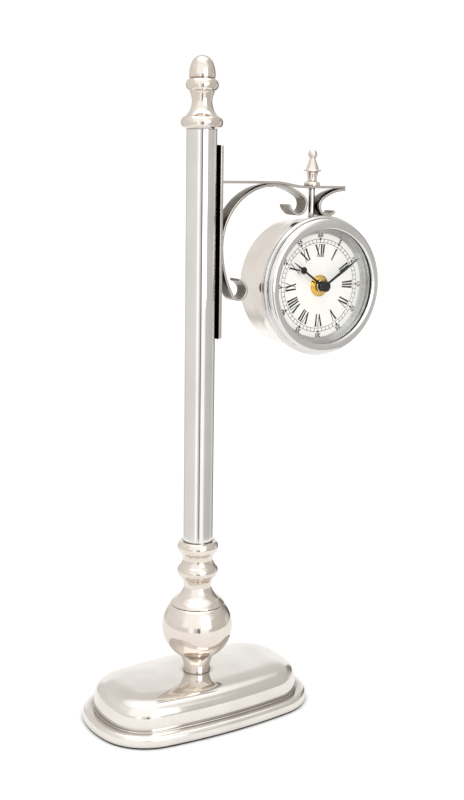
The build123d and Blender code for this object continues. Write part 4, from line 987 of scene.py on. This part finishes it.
def make_studio():
    """Pale floor and a banded tent of light that shows in the metal; camera rays see plain white instead."""
    turns = [2 * pi * i / 96 for i in range(96)]
    rim = [(FLOOR_RADIUS * cos(t), FLOOR_RADIUS * sin(t), 0) for t in turns]
    floor = mesh_object("floor", rim, [list(range(96))])
    floor.data.materials.append(moulded("floor_paper", (0.93, 0.93, 0.93), (0.91, 0.91, 0.91), 0.8))
    world = bpy.data.worlds.new("studio")
    world.use_nodes = True
    bpy.context.scene.world = world
    tree = world.node_tree
    shade = tree.nodes["Background"]
    place = tree.nodes.new("ShaderNodeTexCoord").outputs["Generated"]
    split = tree.nodes.new("ShaderNodeSeparateXYZ")
    tree.links.new(place, split.inputs["Vector"])
    parts = []
    for axis in ((0.857, -0.515, 0), (-0.515, -0.857, 0)):
        dot = tree.nodes.new("ShaderNodeVectorMath")
        dot.operation = "DOT_PRODUCT"
        dot.inputs[1].default_value = axis
        tree.links.new(place, dot.inputs[0])
        parts.append(dot.outputs["Value"])
    turn = tree.nodes.new("ShaderNodeMath")
    turn.operation = "ARCTAN2"
    tree.links.new(parts[0], turn.inputs[0])
    tree.links.new(parts[1], turn.inputs[1])
    around = tree.nodes.new("ShaderNodeMapRange")
    around.inputs["From Min"].default_value = -pi
    around.inputs["From Max"].default_value = pi
    tree.links.new(turn.outputs["Value"], around.inputs["Value"])
    around = around.outputs["Result"]
    height = split.outputs["Z"]
    wall = sky_ramp(tree, around, [
        (-180, 1.12, 0), (-158, 1.12, 0), (-150, 0.88, 0.02), (-138, 0.62, 0.02), (-126, 0.88, 0.02),
        (-60, 0.90, 0.02), (-38, 0.92, 0.02), (-28, 1.00, 0.01), (-23, 1.35, 0), (-13, 1.35, 0),
        (-7, 0.80, 0.01),
        (1, 0.72, 0.01), (4, 0.16, 0.02), (8, 0.16, 0.02), (13, 1.30, 0), (34, 1.30, 0), (42, 0.80, 0.02),
        (52, 0.68, 0.03), (105, 0.64, 0.03), (114, 0.86, 0.01), (124, 0.72, 0.02), (134, 0.58, 0.02),
        (140, 0.10, 0.04), (150, 0.10, 0.04), (156, 1.12, 0), (180, 1.12, 0)])
    middle = sky_ramp(tree, around, [
        (-180, 1.12, 0), (-158, 1.12, 0), (-148, 0.80, 0.03), (-90, 0.92, 0.03), (-55, 0.98, 0.02),
        (-42, 1.30, 0), (38, 1.30, 0), (52, 0.74, 0.03), (115, 0.60, 0.04), (140, 0.30, 0.05),
        (150, 0.30, 0.05), (156, 1.12, 0),
        (180, 1.12, 0)])
    upper = sky_ramp(tree, around, [
        (-180, 0.78, 0.02), (-120, 0.90, 0.02), (-60, 1.05, 0.01), (-40, 1.30, 0), (45, 1.30, 0),
        (70, 0.74, 0.03), (120, 0.66, 0.04), (180, 0.78, 0.02)])
    sky = sky_blend(tree, height, 0.02, 0.16, wall, middle)
    sky = sky_blend(tree, height, 0.36, 0.48, sky, upper)
    sky = sky_blend(tree, height, 0.72, 0.88, sky, (1.30, 1.30, 1.30))
    seen = tree.nodes.new("ShaderNodeMix")
    seen.data_type = "RGBA"
    seen.inputs["B"].default_value = (BACKDROP, BACKDROP, BACKDROP, 1)
    tree.links.new(tree.nodes.new("ShaderNodeLightPath").outputs["Is Camera Ray"], seen.inputs["Factor"])
    tree.links.new(sky, seen.inputs["A"])
    tree.links.new(seen.outputs["Result"], shade.inputs["Color"])
    shade.inputs["Strength"].default_value = 1.0
    area_light("overhead", (-0.1, -0.1, 1.5), (0.03, 0, 0.0), 1.3, 1.3, 3)
    area_light("front", (0.0, -1.25, 0.55), (0.0826, 0, 0.27), 0.7, 0.9, 4)
    bpy.context.scene.view_settings.view_transform = "Standard"


make_camera()
make_studio()
